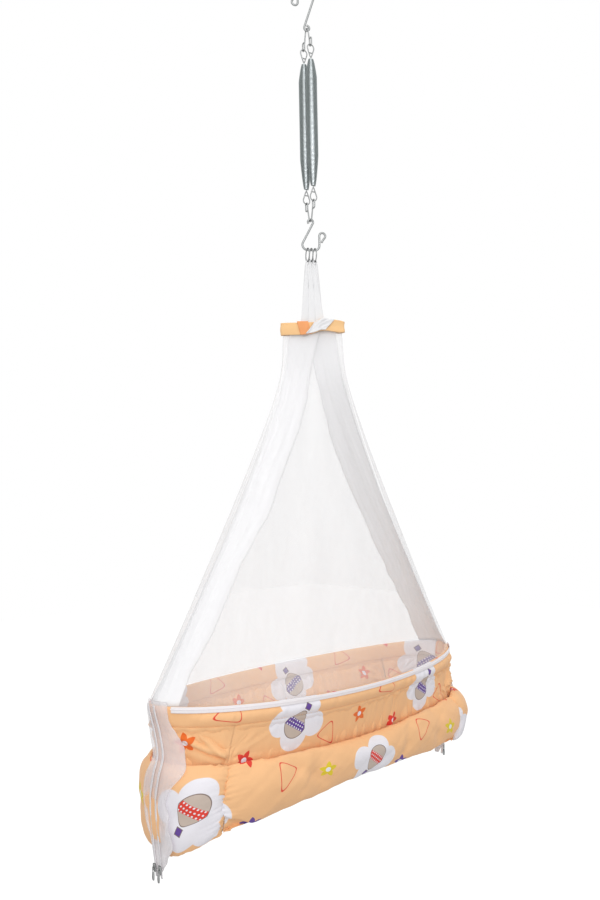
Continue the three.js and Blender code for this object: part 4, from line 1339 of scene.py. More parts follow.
class CRADLE_OT_springs(bpy.types.Operator):
    """Winds the pair of extension springs, which stretch between the two links"""
    bl_idname = "cradle.springs"
    bl_label = "Springs"

    def execute(self, context):
        wires = context.scene.cradle_wire
        for name, side in SPRINGS.items():
            place = yawed(0, side * SPRING_SPACING / 2, SPRING_TOP, SPRING_YAW)
            piece = add_object(f"{name}_coil", bpy.data.meshes.new(f"{name}_coil"))
            grow(piece, spring_tree(), curls=wires.spring_curls, steps=20, length=SPRING_LENGTH,
                 thickness=wires.spring_wire, width=SPRING_WIDTH, tip_width=SPRING_TIP_WIDTH,
                 top_cone=TOP_CONE, bottom_cone=BOTTOM_CONE, place=tuple(place), material=spring_steel())
            face_outwards(piece.data)
            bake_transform(piece)
            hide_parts(f"{name}_spring")
        return {"FINISHED"}


class CRADLE_OT_rings(bpy.types.Operator):
    """Makes the three wire rings that hang in the lower hook's cup"""
    bl_idname = "cradle.rings"
    bl_label = "Rings"

    def execute(self, context):
        wire = context.scene.cradle_wire.ring_wire
        circle = plan_point(full_turn(60), RING_RADIUS, RING_RADIUS, 2)
        for name in RING_NAMES:
            centre = np.mean([tuple(corner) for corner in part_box(f"{name}_ring")], axis=0)
            points = yawed(0, circle[:, 0], circle[:, 1], HOOK_YAW) + centre
            piece = wire_piece(f"{name}_wire_ring", [points], [True], wire, steel())
            hold(piece, "cradle", "steel", f"{name}_ring")
        return {"FINISHED"}


# Neck straps and collar
STRAP_THICK = 0.0014
STRAP_WIDTH = 0.0075
STRAP_LOOP_GAP = 0.00075
STRAP_LOW_SPACING = 0.014
STRAP_LOW_WIDTH = 0.0175
STRAP_LOW_THICK = 0.0018
STRAP_SEWN_GAP = 0.001
STRAP_PLEAT = 0.0005
STRAP_BUNCH = 0.0042
STRAP_SIDES = 36
STRAP_CORNER_POWER = 2.6
STRAP_RUCKS = 1.3
STRAP_BUNCHED_BY = 0.07
COLLAR_RISE = 0.008
COLLAR_RIGHT_DROP = 0.004
COLLAR_LEAN = 0.18
COLLAR_TUCK = (-0.02, 0.06, 0.0022)
COLLAR_LAP = (-0.16, 0.09, 0.0028)
COLLAR_ROLL = (0.2, 0.1, 0.0024)
COLLAR_PINCH = (0.03, 0.12, 0.18)
COLLAR_END_NARROW = 0.14
COLLAR_CREASE = 0.0006
COLLAR_SHEET = 0.8 * COLLAR_WALL
COLLAR_SEAM_STAND = 0.42 * COLLAR_WALL
COLLAR_CLOTH_STAND = 0.4 * COLLAR_WALL
FOLD_LEAN = 0.09
FOLD_STAND = 0.0012
FOLD_SHEET = 0.0009
PATCH_LEAN = -0.3
PATCH_STAND = 0.0011
PATCH_RUCK = 0.0013
PATCH_SHEET = 0.0007
COLLAR_FOLD = (-0.42, -0.1)
COLLAR_SEAMS = (0.12, 0.88)
STITCH_SIZE = (0.003, 0.0006, 0.0006)
PATCH_SHIFT = 0.012


def strap_rows(place, ring_z, wires):
    """A doubled strap's middle line and how far it has opened from the ring towards the collar."""
    bend = wires.ring_wire / 2 + STRAP_LOOP_GAP + STRAP_THICK / 2
    top = place * RING_SPACING
    low_offset = COLLAR_HALF_DEPTH - COLLAR_WALL - STRAP_SEWN_GAP - STRAP_LOW_THICK / 2
    share = np.linspace(1, 0, 46)[:-1]
    ease = smooth_step(share)
    yaw = np.radians(mix(HOOK_YAW, COLLAR_YAW, share))
    legs = []
    for sign in (-1, 1):
        along = mix(top + sign * bend, place * STRAP_LOW_SPACING, share)
        across = sign * low_offset * ease
        legs.append(np.stack([
            along * np.cos(yaw) - across * np.sin(yaw),
            along * np.sin(yaw) + across * np.cos(yaw),
            mix(ring_z, -COLLAR_DROP - STRAP_TUCK, share),
        ], -1))
    over = arc(0, 0, bend, 180, 0, 15)
    hoop = yawed(top + over[:, 0], 0, ring_z + over[:, 1], HOOK_YAW)
    points = np.vstack([legs[0], hoop, legs[1][::-1]])
    return points, *(np.r_[values, np.zeros(len(hoop)), values[::-1]] for values in (ease, share))


class CRADLE_OT_straps(bpy.types.Operator):
    """Hangs the three doubled neck straps from their rings"""
    bl_idname = "cradle.straps"
    bl_label = "Neck straps"

    def execute(self, context):
        wires = context.scene.cradle_wire
        for seed, (name, place) in enumerate(RING_NAMES.items()):
            low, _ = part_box(f"{name}_ring")
            points, opened, spread = strap_rows(place, low[2] + wires.ring_wire / 2, wires)
            half_across = mix(STRAP_WIDTH, STRAP_LOW_THICK, clamp(opened / 0.9)) / 2
            bunch = mix(STRAP_THICK, STRAP_BUNCH, clamp(spread / STRAP_BUNCHED_BY))
            half_beside = mix(bunch, STRAP_LOW_WIDTH, spread) / 2
            along_hook = yawed(0, 1, 0, HOOK_YAW)
            sections = bar_sections(points, half_across, half_beside, along_hook, STRAP_SIDES, STRAP_CORNER_POWER)
            away = (sections - points[:, None, :]) / np.maximum(half_beside, 0.001)[:, None, None]
            side = np.sign(np.arange(STRAP_SIDES) - STRAP_SIDES / 2 + 0.5)
            across = np.linalg.norm(away, axis=-1) * side[None, :]
            ruck = wave_noise(across * STRAP_RUCKS + seed + points[:, 2:3] * 6, 40 + seed, 2)
            depth = ruck * STRAP_PLEAT * (0.3 + opened[:, None] * (1 - opened[:, None]) * 3)
            sections += yawed(0, 1, 0, COLLAR_YAW) * depth[..., None]
            piece = loft(f"{name}_cotton_strap", sections, cloth_uv(sections, True), material=white_cotton())
            hold(piece, "cradle", "white_cotton", f"{name}_neck_strap")
        return {"FINISHED"}


def collar_place(angle, low, stand):
    """A point of the collar's middle surface: low is the share down it, stand how far outside it."""
    angle, low, stand = together(angle, low, stand)
    length, depth = COLLAR_HALF_LENGTH - COLLAR_WALL / 2, COLLAR_HALF_DEPTH - COLLAR_WALL / 2
    oval = plan_point(angle, length, depth, COLLAR_POWER)
    ahead = plan_point(angle + 0.01, length, depth, COLLAR_POWER) - oval
    outward = unit(np.stack([ahead[..., 1], -ahead[..., 0]], -1))
    along = oval[..., 0] / length
    front = clamp(-outward[..., 1])
    slant = along + COLLAR_LEAN * (low - 0.5)

    def swell(middle, width, height):
        return np.exp(-((slant - middle) / width) ** 2) * height

    folded = (swell(*COLLAR_LAP) + swell(*COLLAR_ROLL) - swell(*COLLAR_TUCK)) * front
    crease = COLLAR_CREASE * np.sin(low * 6.5 + along * 2) * (1 - front * 0.4)
    level = oval + outward * (stand + folded + crease)[..., None]
    rise = COLLAR_RISE * (smooth_step((along + 0.1) / 0.4) - 0.5)
    rise = rise - COLLAR_RIGHT_DROP * smooth_step((along - 0.35) / 0.6)
    narrow = swell(*COLLAR_PINCH) + COLLAR_END_NARROW * smooth_step((along - 0.86) / 0.14)
    z = -COLLAR_DROP - COLLAR_HEIGHT * mix(low, 0.5, narrow) + rise
    return yawed(level[..., 0], level[..., 1], z, COLLAR_YAW)


def collar_front(name, alongs, lean, lows, stand, thick, material):
    """Cloth laid on the collar's front, between two shares of its length and leaning over down it."""
    angles = 1.5 * math.pi + np.arcsin(alongs)
    lows = lows[:, None]
    rows = collar_place(angles[None, :] + lean * (lows - 0.5), lows, COLLAR_CLOTH_STAND + stand)
    return sheet_piece(name, rows, thick, cloth_uv(rows), material)


class CRADLE_OT_collar(bpy.types.Operator):
    """Sews the narrow cotton collar with its stitches, and its plain and a little crumpled label"""
    bl_idname = "cradle.collar"
    bl_label = "Collar"

    def execute(self, context):
        cloth = context.scene.cradle_cloth
        binding = plain_cotton("collar_cotton", cloth.binding)
        turns = full_turn(180)
        rows = collar_place(turns[None, :], np.linspace(0, 1, 18)[:, None], 0.0)
        around_uv = cloth_uv(rows, True)
        parts = [sheet_piece("collar_cotton_band", rows, COLLAR_SHEET, around_uv, binding, True)]
        for low in COLLAR_SEAMS:
            seam = collar_place(turns, low, COLLAR_SEAM_STAND)
            facing = unit(collar_place(turns, low, 0.01) - seam)
            pitch = context.scene.cradle_zips.stitch
            parts.append(bead_row("collar_stitches", seam, facing, pitch, STITCH_SIZE, binding, True))
        alongs, lows = np.linspace(*COLLAR_FOLD, 16), np.linspace(-0.1, 1.02, 12)
        folded = plain_cotton("collar_fold", cloth.fold)
        fold = collar_front("collar_fold", alongs, FOLD_LEAN, lows, FOLD_STAND, FOLD_SHEET, folded)
        parts.append(fold)
        band = joined("collar_cotton_band", parts)
        hold(band, "cradle", "binding", "collar_band")
        columns = np.linspace(-PATCH_WIDTH / 2, PATCH_WIDTH / 2, 30) + PATCH_SHIFT
        lows = np.linspace(0.02, 0.96, 16)
        ruck = PATCH_RUCK * (1 + wave_noise(lows[:, None] * 1.6 + np.linspace(0, 2.2, 30)[None, :], 9, 3))
        piece = collar_front("plain_label", columns / COLLAR_HALF_LENGTH, PATCH_LEAN, lows,
                             PATCH_STAND + ruck, PATCH_SHEET, white_cotton())
        hold(piece, "cradle", "white_cotton", "collar_patch")
        return {"FINISHED"}


# The tent: two slings inside two nets
SLING_PLEAT = 0.0048
FINE_FOLDS = 23
FINE_FOLD_DEPTH = 0.0016
FOLD_DRIFT = 0.05
SLING_WANDER = 0.04
SLING_SHEET = 0.6 * SLING_THICK
NET_SHEET = 0.5 * NET_THICK


def sling_rows(end_angle, seed):
    shares = np.linspace(0, 1, 90)[:, None]
    across = np.linspace(-1, 1, 40)[None, :]
    middle = end_angle + SLING_TURN_ANGLE * (1 - shares) ** 2
    half = SLING_HALF_ANGLE + SLING_SPREAD_ANGLE * (1 - shares)
    wander = SLING_WANDER * wave_noise(shares * 4, seed, 3)
    angle = middle + across * half + np.abs(across) * wander
    open_end = smooth_step(shares / 0.18) * smooth_step((1 - shares) / 0.05)
    pleats = 0.5 + 0.5 * wave_noise(across * 0.9 + 0.15 * wave_noise(shares * 1.3, seed + 1, 2), seed + 2, 3)
    return beside_tent(angle, shares, -SLING_INSET - SLING_PLEAT * pleats * open_end)


class CRADLE_OT_slings(bpy.types.Operator):
    """Hangs the two white cotton slings that carry the tub's ends"""
    bl_idname = "cradle.slings"
    bl_label = "Slings"

    def execute(self, context):
        for seed, (name, end) in enumerate(ENDS.items()):
            rows = sling_rows(end["turn"], 20 + 5 * seed)
            piece = sheet_piece(f"{name}_cotton_sling", rows, SLING_SHEET, cloth_uv(rows), white_cotton())
            hold(piece, "cradle", "white_cotton", f"{name}_sling")
        return {"FINISHED"}


def net_rows(start, stop, net, seed):
    shares = np.linspace(0, 1, 90)[:, None]
    across = np.linspace(0, 1, 200)[None, :]
    seam = NET_SEAM_ANGLE * (1 - shares) ** 2
    angle = mix(start + seam, stop - seam, across)
    drift = FOLD_DRIFT * wave_noise(shares * 1.2, seed, 2)
    main = 0.5 - 0.5 * np.cos(2 * math.pi * (net.folds * (across + drift * across * (1 - across) * 4)))
    uneven = 0.65 + 0.35 * wave_noise(across * 2.2 + shares * 0.4, seed + 1, 2)
    fine = 0.5 + 0.5 * wave_noise(across * FINE_FOLDS * 0.5 + shares * 0.3, seed + 2, 2)
    depth = net.fold_depth * main * uneven * np.sin(math.pi * shares) ** 0.8
    depth = depth + FINE_FOLD_DEPTH * fine * smooth_step(shares / 0.06) * (1 - shares) ** 1.5
    sewn = smooth_step(across / 0.01) * smooth_step((1 - across) / 0.01)
    return beside_tent(angle, shares, depth * sewn)


class CRADLE_OT_nets(bpy.types.Operator):
    """Hangs the front and back nets between collar and rim"""
    bl_idname = "cradle.nets"
    bl_label = "Nets"

    def execute(self, context):
        net = context.scene.cradle_net
        cloth = sheer_cloth("fine_net", net.colour, net.cover)
        for seed, (name, start) in enumerate((("front", math.pi), ("back", 0.0))):
            rows = net_rows(start + SPLIT_ANGLE, start + math.pi - SPLIT_ANGLE, net, 60 + 5 * seed)
            piece = sheet_piece(f"{name}_sheer_net", rows, NET_SHEET, cloth_uv(rows), cloth)
            hold(piece, "cradle", "sheer_net", f"{name}_net")
        return {"FINISHED"}


# The tub's hem and walls
HEM_PUFF = 0.0008
HEM_BELLY = 0.0045
HEM_FOLD_PITCH = 0.011
HEM_FOLD_DEPTH = 0.0026
HEM_UNEVEN = 0.0008
HEM_CORNER_POWER = 4.5
WALL_TOP_OVERLAP = 0.0035
WALL_STEP = 0.0024
WALL_TUCK = 0.0042
WALL_STAND_BACK = 0.0008
WALL_END_ANGLE = 0.0006
WALL_INNER_SHARE = 0.4
HEM_STITCH_SIZE = (0.003, 0.0007, 0.0006)
WALL_RECESS = 0.006
CREASE_WIDTH = 0.0065
CREASE_DEPTH = 0.0085
END_CREASES = ((0.125, 1.1), (0.092, 0.85), (0.06, 0.65))
SIDE_CREASES = ((0.045, 0.8), (0.085, 0.6))
CORNER_IN = 0.004
CORNER_SEWN = 0.85
HEM_TOP_STITCH = 0.0145
HEM_LOW_STITCH = 0.0295
TAPE_DROP = 0.0085


def printed_place(along, down):
    """The print's place at a distance round the tub and down from its rim."""
    return np.stack([along - PRINT_SHIFT, -down - PRINT_LIFT], -1)


def tub_piece(name, angles, outs, drops, material):
    """A closed solid along the wall from arrays of out and drop, with the print's places as its UV."""
    along = np.repeat(around(angles)[:, None], outs.shape[1] + 1, axis=1)
    down = np.concatenate([drops, drops[:, :1]], axis=1)
    return loft(name, tub_point(angles[:, None], outs, drops), printed_place(along, down), material=material)


def tub_row(name, angles, out, drop, pitch, size, material):
    """A row of stitches or teeth round the tub, facing out."""
    seam = tub_point(angles, out, drop)
    facing = unit(tub_point(angles, out + 0.01, drop) - seam)
    return bead_row(name, seam, facing, pitch, size, material)


class CRADLE_OT_hems(bpy.types.Operator):
    """Folds the padded hem round the rim, with its two rows of stitches"""
    bl_idname = "cradle.hems"
    bl_label = "Rim hem"

    def execute(self, context):
        cotton = printed_cotton()
        pitch = context.scene.cradle_zips.stitch
        across, down = plan_point(full_turn(36, 0.5), 1.0, 1.0, HEM_CORNER_POWER).T
        for seed, (name, start) in enumerate((("front", math.pi), ("back", 0.0))):
            angles = np.linspace(start + SPLIT_ANGLE, start + math.pi - SPLIT_ANGLE, 260)
            turns, lengths = angles[:, None], around(angles)[:, None]
            outs = -HEM_THICK / 2 + across * HEM_THICK / 2
            drops = HEM_HEIGHT / 2 + down * HEM_HEIGHT / 2 + 0 * lengths
            ruck = wave_noise(lengths / 0.03 + drops * 9, 70 + seed, 3)
            belly = np.sin(math.pi * clamp(drops / HEM_HEIGHT))
            outs = outs + np.sign(across) * HEM_PUFF * (belly - 0.75 + 0.5 * ruck)
            free = smooth_step((np.abs(np.sin(turns)) - math.sin(STRIP_HALF_ANGLE)) / 0.15)
            low = np.sin(math.pi * clamp((drops - TAPE_DROP) / (HEM_HEIGHT - TAPE_DROP)) ** 0.8)
            folds = HEM_FOLD_DEPTH * wave_noise(lengths / HEM_FOLD_PITCH / 2 + 8 * drops, 72 + seed, 2)
            folds = folds * (0.6 + 0.9 * smooth_step((turns - start - 1.4) / 0.6))
            outs = outs + (across > 0) * free * low * (HEM_BELLY + folds)
            uneven = HEM_UNEVEN * wave_noise(lengths / 0.05, 75 + seed, 2)
            drops = drops + uneven * smooth_step(drops / HEM_HEIGHT)
            parts = [tub_piece(f"{name}_padded_hem", angles, outs, drops, cotton)]
            for drop in (HEM_TOP_STITCH, HEM_LOW_STITCH):
                parts.append(tub_row("stitches", angles, 0.0, drop, pitch, HEM_STITCH_SIZE, cotton))
            hem = joined(f"{name}_padded_hem", parts)
            hold(hem, "cradle", "peach_cotton", f"{name}_hem")
        return {"FINISHED"}


def crease(length, drop, start, stop, width, depth):
    """A sharp fold from one place of the wall to another, fading at both ends."""
    way = np.array(stop) - np.array(start)
    reach = np.linalg.norm(way)
    way = way / reach
    along = (length - start[0]) * way[0] + (drop - start[1]) * way[1]
    beside = (length - start[0]) * -way[1] + (drop - start[1]) * way[0]
    fade = smooth_step(along / (0.25 * reach)) * smooth_step((reach - along) / (0.15 * reach))
    fade = fade * (along > 0) * (along < reach)
    ridge = 0.8 * np.exp(-((beside - 1.5 * width) / width) ** 2) - np.exp(-(beside / width) ** 2)
    return depth * ridge * fade


def wall_relief(name, angles, drops, cloth):
    """How far the wall's outer face stands out: pulled in under the hem, gathered, creased to its corners."""
    start, stop, top, _, _ = SIDES[name]
    lengths = around(angles)[:, None]
    share = (angles[:, None] - start) / (stop - start)
    high = towards_corner(top, CORNER_TOP, share)
    down = clamp((drops - HEM_HEIGHT) / (high - HEM_HEIGHT))
    inset = -WALL_RECESS * smooth_step(down / 0.25) * (1 - 0.45 * smooth_step((down - 0.6) / 0.4))
    seed = len(name) * 7
    lively = 0.35 + 1.0 * smooth_step((share - 0.3) / 0.3) if name == "front" else 0.8
    sway = 0.35 * wave_noise(lengths * 3 + drops * 4, seed + 1, 2)
    gathers = wave_noise(lengths / cloth.gather_pitch / 2 + sway, seed, 3)
    near_seams = 0.5 + 0.5 * np.abs(2 * down - 1)
    relief = inset + lively * cloth.gather_depth * gathers * near_seams * smooth_step(down / 0.12)
    creases, strength, below_hem = (END_CREASES, 1.0, 0.008) if "end" in name else (SIDE_CREASES, 0.4, 0.012)
    for corner, side in ((start, 1), (stop, -1)):
        low = (float(around(corner)), CORNER_TOP - 0.002)
        for across, width in creases:
            high_end = (low[0] + side * across, HEM_HEIGHT + below_hem)
            depth = CREASE_DEPTH * strength * side
            relief = relief + crease(lengths, drops, high_end, low, CREASE_WIDTH * width, depth)
    to_corner = np.minimum(lengths - float(around(start)), float(around(stop)) - lengths)
    sewn = 1 - CORNER_SEWN * smooth_step((down - 0.55) / 0.35)
    relief = mix(-CORNER_IN * sewn, relief, smooth_step(to_corner / 0.012))
    return relief - 0.0012 * sewn * np.exp(-((to_corner / 0.0022) ** 2))


class CRADLE_OT_walls(bpy.types.Operator):
    """Makes the four gathered walls between hem and base"""
    bl_idname = "cradle.walls"
    bl_label = "Walls"

    def execute(self, context):
        cloth = context.scene.cradle_cloth
        levels = np.linspace(HEM_HEIGHT - WALL_TOP_OVERLAP, WALL_HEIGHT - SEAT_GAP, 34)
        outer = np.arange(68)[None, :] < 34
        for name, (start, stop, _, _, _) in SIDES.items():
            count = int((around(stop) - around(start)) / WALL_STEP)
            angles = np.linspace(start - WALL_END_ANGLE, stop + WALL_END_ANGLE, count)
            drops = np.concatenate([levels, levels[::-1]])[None, :] + 0 * angles[:, None]
            relief = wall_relief(name, angles, drops, cloth)
            tucked = WALL_TUCK * (drops < HEM_HEIGHT) * outer
            inner = -WALL_THICK - WALL_INNER_SHARE * relief
            outs = np.where(outer, relief - WALL_STAND_BACK - tucked, inner)
            wall = tub_piece(f"{name}_gathered_wall", angles, outs, drops, printed_cotton())
            hold(wall, "cradle", "peach_cotton", f"{name}_wall")
        return {"FINISHED"}


# Bolsters and mattress, which a cloth simulation swells
BOLSTER_VOXEL = 0.005
MATTRESS_VOXEL = 0.006
BOLSTER_CAP = 0.006
MATTRESS_CAP = 0.005
START_SWELL = 0.9
PIN_DEPTH = 0.0045
SIMULATED_FRAMES = 20
PUCKER_PITCH = 0.0105
PUCKER_DEPTH = 0.0007
PUCKER_REACH = 0.009
PLEAT_REACH = 0.013
PLEAT_DEPTH = 0.003
PLEAT_PITCH = 0.0095
LOOSE_DEPTH = 0.0018
FLAPS = {"left": (-0.5, 0.06), "right": (-0.2, 0.1)}
FLAP_BOTTOM = -1.25
FLAP_DEPTH = 0.006
PIPING_WIRE = 0.003
COVER_SHEET = COVER_THICK * 0.7


def vertex_values(mesh, key):
    """The place ("co") or the facing ("normal") of each vertex."""
    values = np.empty(len(mesh.vertices) * 3, "f")
    mesh.vertices.foreach_get(key, values)
    return values.reshape(-1, 3).astype(float)


def move_vertices(mesh, places):
    mesh.vertices.foreach_set("co", places.ravel())
    mesh.update()


def puffed(piece, voxel, cap, pressure, pinned):
    """Swells a closed piece as stuffed cloth; pinned gives each point's hold, from 0 to 1."""
    remesh = piece.modifiers.new("Remesh", "REMESH")
    remesh.mode = "VOXEL"
    remesh.voxel_size = voxel
    plain(piece)
    before = vertex_values(piece.data, "co")
    held = pinned(before)
    group = piece.vertex_groups.new(name="held")
    for index in np.nonzero(held > 0)[0]:
        group.add([int(index)], float(held[index]), "REPLACE")
    cloth = piece.modifiers.new("Cloth", "CLOTH")
    cloth.settings.quality = 5
    cloth.settings.use_pressure = True
    cloth.settings.uniform_pressure_force = pressure
    cloth.settings.shrink_min = -0.04
    cloth.settings.vertex_group_mass = "held"
    cloth.settings.effector_weights.gravity = 0
    cloth.collision_settings.use_collision = False
    for step in range(1, SIMULATED_FRAMES + 1):
        bpy.context.scene.frame_set(step)
    plain(piece)
    bpy.context.scene.frame_set(1)
    moved = vertex_values(piece.data, "co") - before
    far = np.linalg.norm(moved, axis=1, keepdims=True)
    move_vertices(piece.data, before + moved * np.minimum(1, cap / np.maximum(far, 1e-9)))
    piece.vertex_groups.clear()
    even = piece.modifiers.new("Even", "SMOOTH")
    even.factor, even.iterations = 0.6, 14
    finer = piece.modifiers.new("Finer", "SUBSURF")
    finer.levels = finer.render_levels = 1
    plain(piece)
    piece.data.polygons.foreach_set("use_smooth", [True] * len(piece.data.polygons))


def finished(piece, places, pairs, material):
    """Moves a piece's vertices, gives each its UV pair at every corner that uses it, and its cloth."""
    mesh = piece.data
    move_vertices(mesh, places)
    corners = np.empty(len(mesh.loops), "i")
    mesh.loops.foreach_get("vertex_index", corners)
    mesh.uv_layers.new(name="cloth").data.foreach_set("uv", np.asarray(pairs, "f")[corners].ravel())
    mesh.materials.clear()
    mesh.materials.append(material)


def tub_places(points, middle_angle):
    """The angle, outward distance and drop of points near the tub's wall."""
    drop = RIM_Z - points[:, 2]
    share = clamp(drop / WALL_HEIGHT)
    length = mix(RIM_HALF_LENGTH, BASE_HALF_LENGTH, share)
    width = mix(RIM_HALF_WIDTH, BASE_HALF_WIDTH, share)
    angle = np.arctan2(points[:, 1] / width, points[:, 0] / length)
    for _ in range(2):
        place, outward = wall_plan(angle, drop)
        out = np.sum((points[:, :2] - place) * outward, axis=1)
        foot = points[:, :2] - outward * out[:, None]
        angle = np.arctan2(foot[:, 1] / width, foot[:, 0] / length)
    angle = angle + np.round((middle_angle - angle) / (2 * math.pi)) * 2 * math.pi
    return angle, out, drop - sag_at(angle, drop)


def corner_value(name, key, share):
    """What the nearer corner of a side has under a key."""
    first, last = CORNERS[name]
    return np.where(share > 0.5, last[key], first[key])


def bolster_shape(name, share):
    """A bolster's filling, top, middle and half-height at a share of its length."""
    _, _, top, low, swell = SIDES[name]
    fill = 1 - corner_value(name, "pinch", share) * np.abs(2 * share - 1) ** PINCH_POWER
    high = towards_corner(top, CORNER_TOP, share)
    deep = towards_corner(low, corner_value(name, "bottom", share), share)
    return fill * swell, high, (high + deep) / 2, (deep - high) / 2


def bolster_places(name, points):
    """A point's distance along its bolster, share of it, turn round it and wrapped length below its top."""
    start, stop = SIDES[name][:2]
    angle, out, drop = tub_places(points, (start + stop) / 2)
    share = clamp((angle - start) / (stop - start))
    swell, high, middle, half = bolster_shape(name, share)
    turn = np.arctan2((middle - drop) / half, np.maximum(out, 0.0001) / np.maximum(swell, 0.004))
    samples = np.linspace(math.pi / 2, -math.pi / 2, 60)
    bulge, fall = np.mean(swell), np.mean(half)
    profile = np.stack([bulge * np.cos(samples) ** ROUND_POWER, -fall * np.sin(samples)], -1)
    down = np.interp(-turn, -samples, run_lengths(profile))
    return around(angle), share, turn, out, high + down


def bolster_start(name, material):
    """The bolster before it swells, as a closed solid along the wall."""
    start, stop = SIDES[name][:2]
    angles = np.linspace(start + BOLSTER_SPLIT_ANGLE, stop - BOLSTER_SPLIT_ANGLE, 150)
    swell, high, middle, half = bolster_shape(name, ((angles - start) / (stop - start))[:, None])
    turns = np.radians(np.linspace(-86, 86, 40))[None, :]
    lean = np.where(turns < 0, UNDER_SHARE, 1.0)
    out = CLOTH_GAP + START_SWELL * swell * np.cos(turns) ** ROUND_POWER * lean
    inner_drops = mix(high, 2 * middle - high, np.linspace(0, 1, 12)[None, :])
    outs = np.concatenate([np.full_like(inner_drops, CLOTH_GAP), out], axis=1)
    drops = np.concatenate([inner_drops, middle - half * np.sin(turns)], axis=1)
    return tub_piece(f"{name}_stuffed_bolster", angles, outs, drops, material)


def bolster_relief(name, places, seed):
    """Puckers along the sewn edges, pleats at the ends, and the cloth's own looseness between."""
    length, share, turn, out, down = places
    start, stop = SIDES[name][:2]
    first, last = float(around(start)), float(around(stop))
    _, _, _, half = bolster_shape(name, share)
    to_seam = half * (1 - np.abs(np.sin(turn)))
    to_end = np.minimum(length - first, last - length)
    pucker = wave_noise(length / PUCKER_PITCH / 2, seed, 2)
    relief = PUCKER_DEPTH * pucker * np.exp(-to_seam / PUCKER_REACH) * smooth_step(1.5 * turn)
    pleats = wave_noise(down / PLEAT_PITCH, seed + 1, 2)
    ending = corner_value(name, "pleats", share) * np.exp(-np.maximum(to_end, 0) / PLEAT_REACH)
    relief = relief + PLEAT_DEPTH * pleats * ending
    loose = wave_noise(length / 0.11 + 0.6 * turn, seed + 2, 2)
    loose = loose + 0.5 * wave_noise(length / 0.06 - turn, seed + 3, 2)
    relief = (relief + LOOSE_DEPTH * loose * np.cos(turn)) * smooth_step((out - 0.001) / 0.004)
    if name in ("front", "back"):
        ends = ("left", "right") if name == "front" else ("right", "left")
        for away, end in zip((length - first, last - length), ends):
            highest, reach = FLAPS[end]
            share = clamp(away / reach)
            below = (mix(highest, FLAP_BOTTOM, share) - turn) * half
            pressed = smooth_step(below / 0.004 + 0.5) * smooth_step((1 - share) / 0.2)
            relief = relief - FLAP_DEPTH * pressed * smooth_step((out - 0.0005) / 0.0015)
    return relief


class CRADLE_OT_bolsters(bpy.types.Operator):
    """Sews the four stuffed bolsters and lets a cloth simulation swell them"""
    bl_idname = "cradle.bolsters"
    bl_label = "Bolsters"

    def execute(self, context):
        for seed, name in enumerate(SIDES):
            piece = bolster_start(name, printed_cotton())
            middle = sum(SIDES[name][:2]) / 2

            def pinned(points):
                return clamp((PIN_DEPTH - tub_places(points, middle)[1]) / 0.001)

            puffed(piece, BOLSTER_VOXEL, BOLSTER_CAP, context.scene.cradle_cloth.pressure, pinned)
            points = vertex_values(piece.data, "co")
            places = bolster_places(name, points)
            relief = bolster_relief(name, places, 80 + 5 * seed)
            moved = points + vertex_values(piece.data, "normal") * relief[:, None]
            finished(piece, moved, printed_place(places[0], places[4]), printed_cotton())
            hold(piece, "cradle", "peach_cotton", f"{name}_bolster")
        return {"FINISHED"}


def base_levels():
    """The heights of the cover's top and the mattress's bottom."""
    cover_top = RIM_Z - WALL_HEIGHT
    return cover_top, cover_top + SEAT_GAP + BOARD_THICK + SEAT_GAP


def base_oval(inset, steps, height=None):
    """The base's outline, drawn in by an inset; as points in space where a height is given."""
    oval = plan_point(full_turn(steps), BASE_HALF_LENGTH - inset, BASE_HALF_WIDTH - inset, BASE_POWER)
    return oval if height is None else np.concatenate([oval, np.full((steps, 1), height)], axis=1)


class CRADLE_OT_mattress(bpy.types.Operator):
    """Makes the foam mattress in its cotton cover, with piped edges"""
    bl_idname = "cradle.mattress"
    bl_label = "Mattress"

    def execute(self, context):
        inset = WALL_THICK + BOTTOM_INSET
        _, bottom = base_levels()
        rolled = MATTRESS_ROLL * (1 - math.sqrt(0.5))
        piece = loft("covered_mattress", np.array([
            base_oval(inset + shrink + 0.001, 120, bottom + 0.96 * height) for shrink, height in (
                (MATTRESS_ROLL, 0.0), (rolled, rolled), (0.0, MATTRESS_ROLL),
                (0.0, MATTRESS_THICK - MATTRESS_ROLL), (rolled, MATTRESS_THICK - rolled),
                (MATTRESS_ROLL, MATTRESS_THICK),
                (0.02, MATTRESS_THICK + 0.45 * MATTRESS_CROWN),
                (BASE_HALF_WIDTH / 2, MATTRESS_THICK + MATTRESS_CROWN),
            )
        ]))

        def pinned(points):
            return clamp((bottom + 0.004 - points[:, 2]) / 0.002)

        puffed(piece, MATTRESS_VOXEL, MATTRESS_CAP, context.scene.cradle_cloth.pressure, pinned)
        points = vertex_values(piece.data, "co")
        spread = wave_noise(points[:, 0] / 0.16 + points[:, 1] / 0.09, 31, 2)
        top = smooth_step((points[:, 2] - bottom - MATTRESS_THICK / 2) / 0.01)
        points[:, 2] += 0.0012 * spread * top
        side = (points[:, 2] - bottom) * (1 - top)
        finished(piece, points, np.stack([points[:, 0], points[:, 1] + side], -1), white_cotton())
        parts = [piece]
        for height in (MATTRESS_ROLL * 0.6, MATTRESS_THICK - MATTRESS_ROLL * 0.4):
            piping = base_oval(inset + 0.0005, 300, bottom + height)
            parts.append(wire_piece("piping", [piping], [True], PIPING_WIRE, white_cotton(), 10))
        piece = joined("covered_mattress", parts)
        hold(piece, "cradle", "foam", "mattress")
        return {"FINISHED"}


# Base cover
COVER_HOLE = 0.03
COVER_SAG = 0.0025
COVER_RUCK = 0.0015


def closed_uv(rows):
    """The level places of rows that run round, with the first place again at the end of each row."""
    return np.concatenate([rows[..., :2], rows[:, :1, :2]], axis=1)


